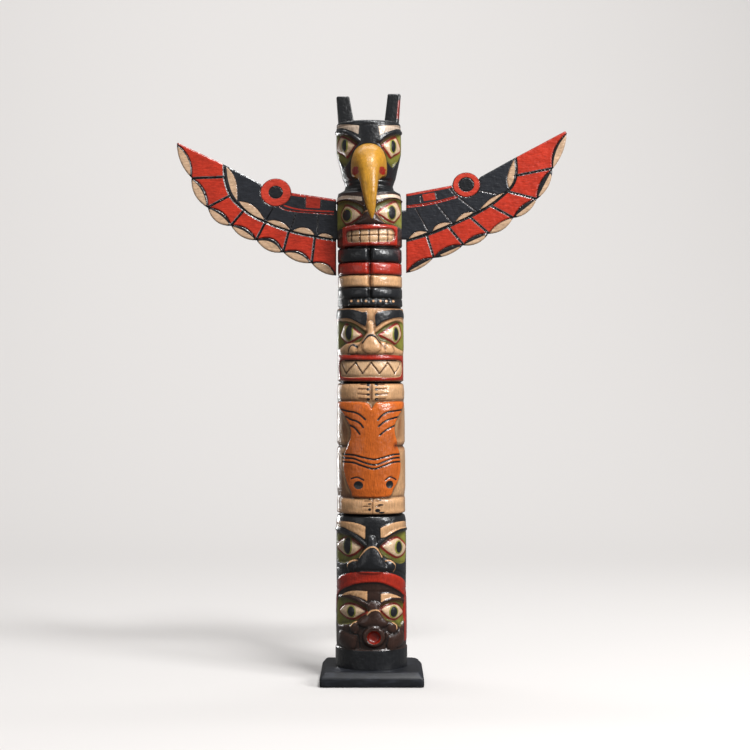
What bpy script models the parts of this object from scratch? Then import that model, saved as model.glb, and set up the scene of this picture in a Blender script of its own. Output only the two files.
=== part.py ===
"""Carved and painted totem pole: one log on a square board, with a let-in beak and two board wings.

Metres, +Z up. The figures look along -Y. The origin is the middle of the board's underside.
"""

import math

import bmesh
import bpy
import numpy as np
from mathutils import Matrix, Vector, geometry

# Base board, its corners from the front left round to the back left
BOARD_WIDTH = 0.107
BOARD_HEIGHT = 0.015
BOARD_SLOPE_DROP = 0.006
BOARD_SLOPE_RUN = 0.005
BOARD_CORNERS = (0.003, 0.003, 0.011, 0.004)

# Fits between separate pieces
GAP = 0.0003
MORTISE_CLEARANCE = 0.0004
SEAT_CLEARANCE = 0.0004

# Log: the round stock, its collar and the heights of the figures carved in it, from the bottom up
LOG_FOOT_RADIUS = 0.0377
LOG_HEAD_RADIUS = 0.0340
LOG_SET_OVER = -0.0006
LOG_LEAN = -0.0030
COLLAR_HEIGHT = 0.020
OWL_HEIGHT = 0.062
WHALE_HEIGHT = 0.077
BEAR_BODY_HEIGHT = 0.137
BEAR_FACE_HEIGHT = 0.078
WARRIOR_HEIGHT = 0.1175
EAGLE_HEIGHT = 0.0745
HEAD_RIM = 0.0012

# Depths of cut and rises of the carving
SOCKET_DEPTH = 0.0030
EYE_RISE = 0.0024
BROW_RISE = 0.0014
NOSE_RISE = 0.0045
NOSTRIL_RISE = 0.0022
LIP_RISE = 0.0018
MOUTH_DEPTH = 0.0030
TEETH_RISE = 0.0022
FISH_RISE = 0.0026
LINE_WIDTH = 0.0020
LINE_DEPTH = 0.0011
SPLIT_WIDTH = 0.0034
SPLIT_DEPTH = 0.0026

# How far in from its outline each form keeps rising or falling
BROW_EDGE = 0.0018
RIDGE_WIDTH = 0.0040
SOCKET_EDGE = 0.0032
EYE_ROUND = 0.0080
NOSE_ROUND = 0.0120
NOSTRIL_ROUND = 0.0050
CHEEK_ROUND = 0.0080
LIP_EDGE = 0.0020
MOUTH_EDGE = 0.0022
TEETH_ROUND = 0.0075
CUP_ROUND = 0.0052
TUBE_EDGE = 0.0036
FISH_EDGE = 0.0030
FISH_ROUND = 0.0200
LOBE_ROUND = 0.0044
LOBE_PARTING = 0.0080
CLAW_ROUND = 0.0020

# Where the flanks begin: cuts run out towards the sides, and percents go on round them evenly
CUTS_FADE_FROM = math.radians(55)
CUTS_END_AT = math.radians(80)
WRAP_FROM = math.radians(70)

# Ears, carved with the head
EAR_HEIGHT = 0.0308
EAR_DROP_LEFT = 0.0026
EAR_FOOT_OUTER = 0.0319
EAR_LEAN_OUT = 0.0020
EAR_FOOT_INNER = 0.0165
EAR_TOP_INNER = 0.0202
EAR_DEPTH = 0.0210
EAR_EASING = 0.0012

# Beak
BEAK_HALF_WIDTH = 0.0187
BEAK_ROOT_TOP = 0.0255
BEAK_ROOT_BOTTOM = 0.0108
BEAK_REACH = 0.0310
BEAK_DROP = 0.0545
BEAK_SWAY = 0.0034
BEAK_SEAT_DEPTH = 0.0070
BEAK_SEAT_IN = 0.0024
BEAK_UP_THE_HEAD = 0.346

# Wings: boards with a tab let into a mortise in the log's side
WING_LENGTH = 0.168
WING_THICKNESS = 0.008
WING_BELOW_SHOULDER = 0.0302
WING_TAB_HEIGHT = 0.0303
WING_TAB_DEPTH = 0.0100
FEATHER_GROOVE_WIDTH = 0.0024
FEATHER_GROOVE_DEPTH = 0.0012

# Fineness of the carved surface before it is thinned
ROW_PITCH = 0.0011
COLUMNS = 200
POLE_FACES = 7000

LOG_FOOT = BOARD_HEIGHT + GAP
COLLAR_TOP = LOG_FOOT + COLLAR_HEIGHT
OWL_TOP = COLLAR_TOP + OWL_HEIGHT
WHALE_TOP = OWL_TOP + WHALE_HEIGHT
BODY_TOP = WHALE_TOP + BEAR_BODY_HEIGHT
BEAR_TOP = BODY_TOP + BEAR_FACE_HEIGHT
WARRIOR_TOP = BEAR_TOP + WARRIOR_HEIGHT
HEAD_TOP = WARRIOR_TOP + EAGLE_HEIGHT + HEAD_RIM
WING_LEVEL = WARRIOR_TOP - WING_BELOW_SHOULDER
BEAK_LEVEL = WARRIOR_TOP + BEAK_UP_THE_HEAD * EAGLE_HEIGHT

# Each wing in percents of its length, from the middle of its root outwards and up
RIGHT_WING = dict(
    standoff=0.0038,
    tips=[(0, -29.9), (17.1, -20.5), (35.6, -12.6), (51.5, -5.4), (66.9, 4.5), (81.6, 16.1), (91.3, 34.8),
          (100.4, 57.2)],
    bulges=(0.09, 0.095, 0.15, 0.15, 0.15, 0.13, 0.083),
    upper_edge=[(99.4, 58.6), (68.0, 41.9), (46.5, 30.0)],
    ring=(37.5, 25.1), ring_half=(8.5, 7.7), disc_half=(4.6, 4.2),
    bar_top=[(28.2, 24.6), (0, 19.3)],
    inner_line=[(68.2, 42.3), (68.9, 34.8), (68.4, 29.8), (66.9, 25.4), (63.7, 21.4), (54.0, 13.1),
                (42.2, 6.2), (27.1, -0.7), (13.8, -6.1), (0.6, -9.8)],
    dividers=[((13.1, -7.6), (17.0, -19.9)), ((26.7, -1.8), (35.4, -12.0)), ((40.0, 4.6), (51.2, -5.0)),
              ((52.9, 11.8), (66.2, 4.8)), ((64.4, 20.4), (81.0, 16.2)), ((68.0, 30.5), (90.7, 35.0))])
LEFT_WING = dict(
    standoff=0.0003,
    tips=[(0, -31.5), (15.6, -23.7), (33.2, -17.0), (49.9, -9.4), (65.7, -0.4), (80.2, 10.7), (90.4, 29.4),
          (99.5, 50.4)],
    bulges=(0.12, 0.12, 0.16, 0.15, 0.20, 0.155, 0.10),
    upper_edge=[(99.0, 51.3), (69.9, 37.6), (47.2, 25.6)],
    ring=(37.7, 20.3), ring_half=(9.6, 8.7), disc_half=(4.1, 3.7),
    bar_top=[(28.3, 20.1), (0, 16.0)],
    inner_line=[(70.0, 38.0), (69.8, 29.8), (68.3, 23.3), (65.4, 16.8), (60.4, 11.5), (55.4, 7.4),
                (49.7, 3.9), (44.6, 1.8), (38.2, -1.0), (30.3, -3.6), (22.4, -5.8), (13.1, -7.6),
                (0.6, -9.6)],
    dividers=[((13.4, -8.6), (15.3, -23.1)), ((29.6, -4.3), (33.0, -16.4)), ((44.6, 0.7), (49.6, -8.8)),
              ((58.3, 8.2), (65.3, 0.1)), ((66.9, 17.9), (79.5, 11.3)), ((69.8, 29.8), (89.8, 29.0))])


def log_share(level):
    """How far up the log a level is, from 0 at its foot to 1 at the top of the head."""
    return (level - LOG_FOOT) / (HEAD_TOP - LOG_FOOT)


def log_radius(level):
    return LOG_FOOT_RADIUS + (LOG_HEAD_RADIUS - LOG_FOOT_RADIUS) * log_share(level)


def log_centre(level):
    """The log stands a little to one side and leans more and more towards the other."""
    return LOG_SET_OVER + LOG_LEAN * log_share(level) ** 2


def smoothstep(value):
    value = np.clip(value, 0.0, 1.0)
    return value * value * (3.0 - 2.0 * value)


def rounded(points, closed=True, steps=5):
    """A smooth curve through the points; a point given twice stays a corner."""
    count = len(points)
    spans = count if closed else count - 1
    path = []
    for index in range(spans):
        if closed:
            a, b, c, d = (points[(index + k) % count] for k in (-1, 0, 1, 2))
        else:
            a, b, c, d = (points[min(max(index + k, 0), count - 1)] for k in (-1, 0, 1, 2))
        if b == c:
            continue
        for step in range(steps):
            t = step / steps
            path.append(tuple(
                0.5 * (2 * q + (r - p) * t + (2 * p - 5 * q + 4 * r - s) * t * t
                       + (3 * q - p - 3 * r + s) * t ** 3)
                for p, q, r, s in zip(a, b, c, d)))
    if not closed:
        path.append(points[-1])
    return path


def distance_to(path, across, up, closed):
    """Distance of each place from the path; positive inside a closed one and negative outside."""
    nearest = np.full(across.shape, 1e9)
    inside = np.zeros(across.shape, dtype=bool)
    ends = zip(path, path[1:] + path[:1]) if closed else zip(path, path[1:])
    for (x0, z0), (x1, z1) in ends:
        dx, dz = x1 - x0, z1 - z0
        length = dx * dx + dz * dz
        if length < 1e-14:
            continue
        t = np.clip(((across - x0) * dx + (up - z0) * dz) / length, 0.0, 1.0)
        nearest = np.minimum(nearest, np.hypot(across - x0 - t * dx, up - z0 - t * dz))
        if closed and dz:
            crosses = (z0 > up) != (z1 > up)
            inside ^= crosses & (across < x0 + (up - z0) * dx / dz)
    if closed:
        return np.where(inside, nearest, -nearest)
    return nearest


def ellipse(centre, half, steps):
    turns = [2 * math.pi * step / steps for step in range(steps)]
    return [(centre[0] + half[0] * math.cos(turn), centre[1] + half[1] * math.sin(turn)) for turn in turns]


class Figure:
    """One figure on the log. Its places are percents of the log's half width, as seen from the
    front and wrapped round the sides, and percents of its own height."""

    def __init__(self, turn, level, relief, foot, height):
        self.turn = turn
        self.level = level
        self.relief = relief
        self.foot = foot
        self.height = height
        self.radius = log_radius(foot + height / 2)
        self.facing = smoothstep((CUTS_END_AT - np.abs(turn)) / (CUTS_END_AT - CUTS_FADE_FROM))

    def wrap(self, share):
        if abs(share) <= math.sin(WRAP_FROM):
            return self.radius * math.asin(share)
        past = (abs(share) - math.sin(WRAP_FROM)) / math.cos(WRAP_FROM)
        return math.copysign(self.radius * (WRAP_FROM + past), share)

    def place(self, points):
        return [(self.wrap(x / 100), self.foot + self.height * z / 100) for x, z in points]

    def near(self, path, margin):
        """The part of the surface within the margin of the path."""
        xs = [p[0] for p in path]
        zs = [p[1] for p in path]
        columns = np.where((self.turn * self.radius > min(xs) - margin)
                           & (self.turn * self.radius < max(xs) + margin))[0]
        rows = np.where((self.level > min(zs) - margin) & (self.level < max(zs) + margin))[0]
        window = np.ix_(rows, columns)
        across, up = np.meshgrid(self.turn[columns] * self.radius, self.level[rows])
        return window, across, up

    def area(self, points, rise, edge, round_top=False):
        """Raise an outlined area, or sink it where the rise is negative."""
        path = rounded(self.place(points))
        window, across, up = self.near(path, edge)
        share = distance_to(path, across, up, True) / edge
        if round_top:
            share = np.sqrt(np.clip(1 - (1 - np.clip(share, 0, 1)) ** 2, 0, 1))
        else:
            share = smoothstep(share + 0.5)
        if rise < 0:
            share = share * self.facing[window[1]]
        self.relief[window] += rise * share

    def line(self, points, width, depth):
        """Cut a V groove along a line, or raise a ridge where the depth is negative."""
        path = rounded(self.place(points), closed=False)
        window, across, up = self.near(path, width)
        share = distance_to(path, across, up, False) / (width / 2)
        if depth < 0:
            profile = np.sqrt(np.clip(1 - share * share, 0, 1))
        else:
            profile = np.clip(1 - share, 0, 1)
        self.relief[window] -= depth * profile

    def mirrored(self, shape, points, *sizes, **options):
        for side in (-1, 1):
            shape([(side * x, z) for x, z in points], *sizes, **options)

    def turned(self, stations):
        """Change the radius all round by a profile of (percent up, share of the radius)."""
        ups = [self.foot + self.height * up / 100 for up, share in stations]
        shares = [share - 1 for up, share in stations]
        rows = np.where((self.level >= ups[0]) & (self.level <= ups[-1]))[0]
        profile = np.interp(self.level[rows], ups, shares)
        self.relief[rows, :] += (profile * self.radius)[:, None]

    def split(self, up, width=SPLIT_WIDTH, depth=SPLIT_DEPTH):
        """A V cut all round the log, between two figures or bands."""
        middle = self.foot + self.height * up / 100
        share = np.abs(self.level - middle) / (width / 2)
        self.relief -= (depth * np.clip(1 - share, 0, 1))[:, None]


def carve_owl(figure):
    """Lowest figure: a round dark face with a tube mouth, under the lip of the face above."""
    figure.turned([(0, 0.97), (10, 0.98), (35, 0.99), (80, 0.985), (100, 0.965)])
    figure.mirrored(figure.area, [(20, 81), (28, 95), (50, 97), (70, 93), (88, 86), (72, 87), (52, 89),
                                  (36, 85)], BROW_RISE / 2, BROW_EDGE)
    figure.mirrored(figure.line, [(14, 74), (34, 82), (56, 85), (78, 84), (92, 78)], RIDGE_WIDTH, -BROW_RISE)
    figure.mirrored(figure.area, [(13, 68), (37, 78), (59, 81), (80, 80), (92, 74), (93, 48), (84, 38),
                                  (64, 44), (44, 49), (28, 58)], -SOCKET_DEPTH, SOCKET_EDGE)
    figure.mirrored(figure.area, [(26, 65), (40, 72), (60, 76), (80, 72), (90, 60), (78, 52), (60, 50),
                                  (42, 56)], EYE_RISE, EYE_ROUND, round_top=True)
    figure.area([(-8, 78), (8, 80), (24, 78), (30, 58), (48, 46), (34, 38), (-18, 38), (-36, 46), (-14, 58)],
                NOSE_RISE * 0.8, NOSE_ROUND, round_top=True)
    for middle in (-47, 60):
        figure.area([(middle - 14, 38), (middle - 8, 46), (middle + 6, 47), (middle + 14, 38),
                     (middle + 6, 28), (middle - 8, 29)], NOSTRIL_RISE, NOSTRIL_ROUND, round_top=True)
    figure.mirrored(figure.area, [(34, 30), (56, 28), (86, 30), (92, 12), (70, 1), (42, 3)],
                    NOSTRIL_RISE, CHEEK_ROUND, round_top=True)
    figure.area(ellipse((7, 23), (30, 17), 10), LIP_RISE * 1.6, TUBE_EDGE)
    figure.area(ellipse((7, 22), (18, 11), 10), -MOUTH_DEPTH * 1.6, CUP_ROUND, round_top=True)


def carve_whale(figure):
    """Black face with a wide red lip that arches over the face below and runs down both sides."""
    figure.turned([(0, 0.975), (20, 0.985), (60, 0.995), (92, 0.99), (100, 0.95)])
    figure.mirrored(figure.area, [(21, 69), (21, 84), (38, 88), (60, 90), (92, 90), (99, 86), (99, 81),
                                  (82, 82), (64, 79), (45, 74), (30, 70)], BROW_RISE / 2, BROW_EDGE)
    figure.mirrored(figure.line, [(20, 61), (38, 69), (58, 75.5), (78, 79), (100, 79)],
                    RIDGE_WIDTH, -BROW_RISE)
    figure.mirrored(figure.area, [(23, 57), (33, 61), (46, 66), (60, 71), (81, 75), (98, 74), (99, 50),
                                  (97, 36), (86, 33.5), (68, 37), (53, 40.5), (38, 44.5), (27, 50)],
                    -SOCKET_DEPTH, SOCKET_EDGE)
    figure.mirrored(figure.area, [(28, 58), (53, 65), (67, 68), (79, 69), (93, 62), (98, 54), (90, 45),
                                  (76, 43), (57, 47.5), (37, 54)], EYE_RISE, EYE_ROUND, round_top=True)
    figure.area([(-9, 72), (9, 72), (17, 56), (34, 42), (40, 25), (-40, 25), (-34, 42), (-15, 56)],
                NOSE_RISE, NOSE_ROUND, round_top=True)
    figure.mirrored(figure.area, [(40, 40), (54, 40), (66, 34), (67, 26), (40, 25)],
                    NOSTRIL_RISE, NOSTRIL_ROUND, round_top=True)
    top = [(-101, -2), (-96, 9), (-84, 17), (-53, 23.4), (-25, 25), (3, 25), (38, 24), (66, 20), (88, 13),
           (97, 6), (101, -2)]
    bottom = [(97, -12), (90, -9), (80, -3.6), (59, 3.4), (31, 9.4), (3, 11), (-39, 8.5), (-68, 3),
              (-84, -2), (-93, -8), (-98, -12)]
    figure.area(top + bottom, LIP_RISE, LIP_EDGE)
    figure.mirrored(figure.area, [(93, -14), (112, -14), (112, -72), (94, -72)], LIP_RISE / 3, LIP_EDGE)


def carve_bear_body(figure):
    """Bear's arms and legs down the sides, round a fish that hangs head down between them."""
    figure.turned([(0, 0.955), (1.5, 0.975), (12, 0.975), (13.5, 0.955), (20, 0.985), (40, 0.99), (48, 0.985),
                   (51.8, 0.945), (56, 0.985), (68, 0.99), (80, 0.985), (85.5, 0.965), (88, 0.98),
                   (93, 0.985), (98, 0.965), (100, 0.945)])
    for up in (98.3, 94.9, 91.2, 87.8):
        figure.line([(-36, up + 0.3), (-6, up)], LINE_WIDTH, LINE_DEPTH / 2)
        figure.line([(8, up), (46, up + 0.6)], LINE_WIDTH, LINE_DEPTH / 2)
    figure.line([(2, 99), (2, 87)], LINE_WIDTH, LINE_DEPTH)
    tail = [(-98, 85), (-80, 85.5), (-59, 85.8), (-30, 85.6), (-8, 84.4), (3, 80.5), (14, 84.6), (21, 85.2),
            (50, 85.6), (79, 86), (99, 84.6)]
    right = [(88, 79.4), (76, 74), (67, 68), (67, 62), (73, 55), (78, 48), (81, 39), (79, 31), (73, 25),
             (62, 19.5), (47, 13.8)]
    left = [(-50, 13.8), (-60, 17.5), (-70, 23), (-77, 29), (-80, 36), (-78, 44), (-70, 52), (-63, 58),
            (-62, 65), (-71, 71.5), (-80, 77), (-90, 81)]
    outline = tail + right + left
    figure.area(outline, FISH_RISE, FISH_EDGE)
    figure.area(outline, FISH_RISE * 0.5, FISH_ROUND, round_top=True)
    fins = ([(-78, 79.7), (-61, 78.3), (-45, 77.7), (-29, 75.8), (-14, 72.2)],
            [(-65, 74.3), (-52, 72.1), (-38, 71), (-27, 68.9), (-20, 66.3)],
            [(-57, 68.1), (-45, 66.3), (-38, 64.5), (-29, 61.2)])
    for fin in fins:
        figure.line(fin, LINE_WIDTH, LINE_DEPTH)
        figure.line([(3 - x, z) for x, z in fin], LINE_WIDTH, LINE_DEPTH)
    for up, dip in ((45.5, 42.3), (43, 38.2), (40, 35.2)):
        middle = (up + dip) / 2
        figure.line([(-79, up), (-48, up), (-22, middle), (8, dip), (36, middle), (58, up), (80, up)],
                    LINE_WIDTH, LINE_DEPTH)
    figure.area([(-88, 12.4), (-40, 12.8), (40, 12.8), (96, 12.4), (98, 1), (30, 0.6), (-30, 0.6), (-88, 1)],
                BROW_RISE, BROW_EDGE)
    for up in (10.6, 6.9, 3.6):
        figure.line([(-20, up), (-6, up)], LINE_WIDTH, LINE_DEPTH / 2)
        figure.line([(10, up), (26, up)], LINE_WIDTH, LINE_DEPTH / 2)
    figure.line([(2, 13), (2, 1)], LINE_WIDTH, LINE_DEPTH)
    figure.split(0)
    figure.split(100)


def carve_bear_face(figure):
    """Bear's face, with a wide mouth of zigzag teeth."""
    figure.turned([(0, 0.95), (3, 0.965), (38, 0.97), (44, 0.985), (90, 0.99), (100, 0.975)])
    figure.mirrored(figure.area, [(14, 75), (13, 91), (33, 94), (57, 96.5), (80, 97), (95, 96), (100, 91),
                                  (99, 86), (83, 86), (60, 84.5), (36, 79), (21, 74.8)], BROW_RISE, BROW_EDGE)
    figure.mirrored(figure.area, [(14, 65.5), (28, 70), (43, 75.8), (66, 80.5), (84, 81.6), (96, 79),
                                  (98, 69), (96, 44), (82, 46), (68, 51), (36, 54), (27, 57.5)],
                    -SOCKET_DEPTH, SOCKET_EDGE)
    figure.mirrored(figure.area, [(28, 62.5), (46, 68), (70, 75), (87, 77.5), (93, 69), (93, 61), (79, 52.5),
                                  (55, 57)], EYE_RISE, EYE_ROUND, round_top=True)
    figure.area([(-8, 80), (8, 80), (14, 66), (30, 54), (46, 38), (-42, 38), (-28, 54), (-12, 66)],
                NOSE_RISE, NOSE_ROUND, round_top=True)
    figure.mirrored(figure.area, [(42, 50), (56, 51), (66, 45), (66, 38), (42, 38)],
                    NOSTRIL_RISE, NOSTRIL_ROUND, round_top=True)
    figure.area([(-95, 36), (-95, 36), (2, 37), (98, 36), (98, 36), (98, 3), (98, 3), (2, 2), (-95, 3),
                 (-95, 3)], LIP_RISE, LIP_EDGE)
    mouth = [(-88, 12), (-90, 24), (-80, 29.5), (0, 29.5), (82, 29.5), (93, 24), (92, 12), (82, 7), (0, 6.8),
             (-80, 7)]
    figure.area(mouth, -MOUTH_DEPTH, MOUTH_EDGE)
    figure.area(mouth, TEETH_RISE, TEETH_ROUND, round_top=True)
    teeth = [(-82, 24.4), (-70, 11.7), (-42, 26.9), (-22, 11.7), (3, 26.9), (28, 11.7), (52, 26.9),
             (72, 11.7), (88, 26)]
    for start, end in zip(teeth, teeth[1:]):
        figure.line([start, end], LINE_WIDTH, LINE_DEPTH)
    figure.split(100)


def carve_warrior(figure):
    """Dark face with two rows of teeth, over a banded body whose claws hold the bear's head."""
    figure.turned([(0, 0.965), (7, 0.955), (50, 0.947), (54, 0.975), (72, 0.985), (95, 0.985), (99, 0.97),
                   (100, 0.945)])
    figure.mirrored(figure.line, [(18, 90.2), (45, 94.5), (70, 96.2), (98, 95.4)], RIDGE_WIDTH, -BROW_RISE)
    figure.mirrored(figure.area, [(20, 86), (36, 91), (56, 94), (78, 95), (94, 94), (99, 88), (98, 72.5),
                                  (76, 72.5), (54, 74), (35, 78)], -SOCKET_DEPTH, SOCKET_EDGE)
    figure.mirrored(figure.area, [(26, 82.6), (50, 88), (78, 92.4), (90, 91.5), (96, 84), (80, 75.3),
                                  (46, 78.8)], EYE_RISE, EYE_ROUND, round_top=True)
    figure.area([(-9, 92), (9, 92), (17, 83), (34, 77), (46, 73), (-42, 73), (-30, 77), (-13, 83)],
                NOSE_RISE * 0.8, NOSE_ROUND, round_top=True)
    figure.area([(-81, 72), (-81, 72), (3, 72.6), (84, 71.6), (84, 71.6), (82, 54.2), (82, 54.2), (2, 53.8),
                 (-81, 53.2), (-81, 53.2)], LIP_RISE, LIP_EDGE)
    mouth = [(-66, 60), (-66, 65.5), (-54, 67), (0, 68), (56, 69), (71, 67), (74, 62.5), (62, 57.8),
             (0, 56.8), (-58, 57)]
    figure.area(mouth, -MOUTH_DEPTH, MOUTH_EDGE)
    figure.area(mouth, TEETH_RISE, TEETH_ROUND, round_top=True)
    for across in (-54, -29, -1, 27, 55):
        figure.line([(across, 68), (across, 57)], LINE_WIDTH, LINE_DEPTH)
    figure.line([(-64, 62.5), (72, 63.5)], LINE_WIDTH, LINE_DEPTH)
    figure.split(53)
    figure.line([(0, 52), (0, 8)], LOBE_PARTING, SPLIT_DEPTH)
    for low, high in ((39.7, 52.5), (28.4, 39.7), (17.4, 28.4), (7.8, 17.4)):
        figure.mirrored(figure.area, [(4, low + 1), (4, high - 1), (60, high - 0.6), (104, high - 1),
                                      (104, low + 1), (60, low + 0.6)], BROW_RISE, LOBE_ROUND, round_top=True)
        figure.split(low, LINE_WIDTH, LINE_DEPTH)
    for claw in range(9):
        across = -70 + claw * 18
        figure.area([(across, 1.2), (across, 6.4), (across + 11, 6.4), (across + 11, 1.2)],
                    BROW_RISE, CLAW_ROUND, round_top=True)


def carve_eagle(figure):
    """Eagle's head, narrowing to a neck that stands on the shoulders of the figure below."""
    rim = 100 * (1 + HEAD_RIM / EAGLE_HEIGHT)
    figure.turned([(0, 0.955), (2.5, 0.95), (4.5, 0.86), (7.5, 0.755), (13, 0.72), (18.6, 0.765), (24, 0.81),
                   (35, 0.865), (46, 0.925), (52, 0.955), (58, 0.985), (70, 0.995), (93, 0.995), (99, 0.985),
                   (rim, 0.95)])
    figure.line([(-104, 20), (0, 20), (104, 20)], LINE_WIDTH, LINE_DEPTH)
    figure.mirrored(figure.line, [(30, 73), (52, 81), (76, 87), (102, 89.5)], RIDGE_WIDTH, -BROW_RISE)
    figure.mirrored(figure.area, [(35, 68.5), (57, 77), (76, 81.5), (98, 84), (101, 62), (88, 41), (80, 38.5),
                                  (61, 47.5), (50, 58)], -SOCKET_DEPTH, SOCKET_EDGE)
    figure.mirrored(figure.area, [(43, 67), (66, 75), (88, 80.5), (96, 63), (75, 51.5), (60, 58)],
                    EYE_RISE, EYE_ROUND, round_top=True)


def new_object(name, mesh, colour, roughness):
    obj = bpy.data.objects.new(name, mesh)
    bpy.context.scene.collection.objects.link(obj)
    material = bpy.data.materials.new(name)
    material.use_nodes = True
    shader = material.node_tree.nodes["Principled BSDF"]
    shader.inputs["Base Color"].default_value = (*colour, 1.0)
    shader.inputs["Roughness"].default_value = roughness
    shader.inputs["Metallic"].default_value = 0.0
    mesh.materials.append(material)
    return obj


def mesh_from(name, corners, faces):
    """A closed mesh with its faces turned outwards."""
    mesh = bpy.data.meshes.new(name)
    mesh.from_pydata(corners, [], faces)
    shell = bmesh.new()
    shell.from_mesh(mesh)
    bmesh.ops.recalc_face_normals(shell, faces=shell.faces)
    shell.to_mesh(mesh)
    shell.free()
    return mesh


def loft(name, rings):
    """A closed mesh through rings of equally many points, with flat ends."""
    count = len(rings[0])
    corners = [corner for ring in rings for corner in ring]
    faces = [tuple(reversed(range(count)))]
    for row in range(len(rings) - 1):
        for index in range(count):
            after = (index + 1) % count
            low, high = row * count, (row + 1) * count
            faces.append((low + index, low + after, high + after, high + index))
    faces.append(tuple(range((len(rings) - 1) * count, len(rings) * count)))
    return mesh_from(name, corners, faces)


def shade(obj, angle):
    obj.data.shade_smooth()
    obj.data.set_sharp_from_angle(angle=math.radians(angle))


def make_cutter(name, mesh):
    cutter = bpy.data.objects.new(name, mesh)
    bpy.context.scene.collection.objects.link(cutter)
    cutter.hide_render = True
    cutter.display_type = "WIRE"
    return cutter


def boolean(obj, other, operation):
    modifier = obj.modifiers.new(other.name, "BOOLEAN")
    modifier.operation = operation
    modifier.solver = "EXACT"
    modifier.object = other


def make_log():
    """The log as a grid of rings, carved, thinned to few faces, then joined with what it meets."""
    rows = max(2, round((HEAD_TOP - LOG_FOOT) / ROW_PITCH))
    level = np.linspace(LOG_FOOT, HEAD_TOP, rows + 1)
    turn = -math.pi + 2 * math.pi * (np.arange(COLUMNS) + 0.5) / COLUMNS
    relief = np.zeros((rows + 1, COLUMNS))
    figures = ((carve_owl, COLLAR_TOP, OWL_HEIGHT), (carve_whale, OWL_TOP, WHALE_HEIGHT),
               (carve_bear_body, WHALE_TOP, BEAR_BODY_HEIGHT), (carve_bear_face, BODY_TOP, BEAR_FACE_HEIGHT),
               (carve_warrior, BEAR_TOP, WARRIOR_HEIGHT), (carve_eagle, WARRIOR_TOP, EAGLE_HEIGHT))
    for carve, foot, height in figures:
        carve(Figure(turn, level, relief, foot, height))
    radius = log_radius(level)[:, None] + relief
    x = log_centre(level)[:, None] + radius * np.sin(turn)[None, :]
    y = -radius * np.cos(turn)[None, :]
    rings = [[(x[row, column], y[row, column], level[row]) for column in range(COLUMNS)]
             for row in range(rows + 1)]
    log = new_object("pole", loft("pole", rings), (0.020, 0.021, 0.024), 0.45)
    thin = log.modifiers.new("thin", "DECIMATE")
    thin.decimate_type = "COLLAPSE"
    thin.ratio = POLE_FACES / (2 * rows * COLUMNS)
    thin.use_collapse_triangulate = True
    return log


def make_ear(side, height):
    """An ear that stands at the edge of the head's top, its outer face rounded with the log."""
    centre = log_centre(HEAD_TOP)
    rings = []
    for share, eased in ((-0.12, 0), (0.0, 0), (0.35, 0), (0.7, 0), (0.93, 0), (1.0, EAR_EASING)):
        up = max(share, 0)
        inner = EAR_FOOT_INNER + (EAR_TOP_INNER - EAR_FOOT_INNER) * up + eased
        outer = EAR_FOOT_OUTER + EAR_LEAN_OUT * up - eased
        half = EAR_DEPTH / 2 * (1 - 0.25 * up) - eased
        ring = [(inner, -half)]
        for step in range(5):
            y = -half + 2 * half * step / 4
            ring.append((math.sqrt(outer * outer - y * y), y))
        ring.append((inner, half))
        rings.append([(centre + side * x, y, HEAD_TOP + height * share) for x, y in ring])
    name = "ear_right" if side > 0 else "ear_left"
    return make_cutter(name, loft(name, rings))


BEAK_STEPS = 18
BEAK_SECTION_POWER = 0.85
BEAK_FLOOR_POWER = 0.45


def beak_ring(forward, down, tilt, share, grow=0.0):
    """One section of the beak; tilt turns it from facing forward to facing down."""
    sway = BEAK_SWAY * (down / BEAK_DROP) ** 2
    ring = []
    for step in range(BEAK_STEPS):
        angle = 2 * math.pi * (step + 0.5) / BEAK_STEPS
        power = BEAK_SECTION_POWER if math.cos(angle) > 0 else BEAK_FLOOR_POWER
        wide = math.copysign(abs(math.sin(angle)) ** power, math.sin(angle))
        tall = math.copysign(abs(math.cos(angle)) ** power, math.cos(angle))
        x = wide * (BEAK_HALF_WIDTH * share[0] + grow)
        if tall > 0:
            rise = tall * (BEAK_ROOT_TOP * share[1] + grow)
        else:
            rise = tall * (BEAK_ROOT_BOTTOM * share[2] + grow)
        ring.append((log_centre(BEAK_LEVEL) + sway + x, -forward - rise * math.sin(tilt),
                     BEAK_LEVEL - down + rise * math.cos(tilt)))
    return ring


def make_beak(log):
    face = log_radius(BEAK_LEVEL) - BEAK_SEAT_IN
    root = face - BEAK_SEAT_DEPTH
    stations = ((0.00, 0.00, 0, 1.00, 1.00, 1.00), (0.28, 0.00, 5, 0.97, 0.94, 1.00),
                (0.48, 0.03, 16, 0.87, 0.82, 0.98), (0.64, 0.10, 32, 0.70, 0.64, 0.92),
                (0.79, 0.22, 50, 0.54, 0.46, 0.74), (0.91, 0.40, 67, 0.45, 0.31, 0.55),
                (0.98, 0.60, 79, 0.35, 0.21, 0.40), (1.00, 0.80, 87, 0.24, 0.13, 0.25),
                (0.99, 0.93, 90, 0.13, 0.07, 0.13), (0.98, 1.00, 90, 0.03, 0.02, 0.03))
    rings = [beak_ring(root, 0.0, 0.0, (1, 1, 1))]
    for reach, drop, tilt, wide, top, bottom in stations:
        rings.append(beak_ring(face + BEAK_REACH * reach, BEAK_DROP * drop, math.radians(tilt),
                               (wide, top, bottom)))
    beak = new_object("beak", loft("beak", rings), (0.72, 0.43, 0.07), 0.40)
    shade(beak, 40)
    seat = [beak_ring(root - GAP, 0.0, 0.0, (1, 1, 1), SEAT_CLEARANCE),
            beak_ring(face + BEAK_REACH, 0.0, 0.0, (1, 1, 1), SEAT_CLEARANCE)]
    boolean(log, make_cutter("beak_seat", loft("beak_seat", seat)), "DIFFERENCE")
    return beak


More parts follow.
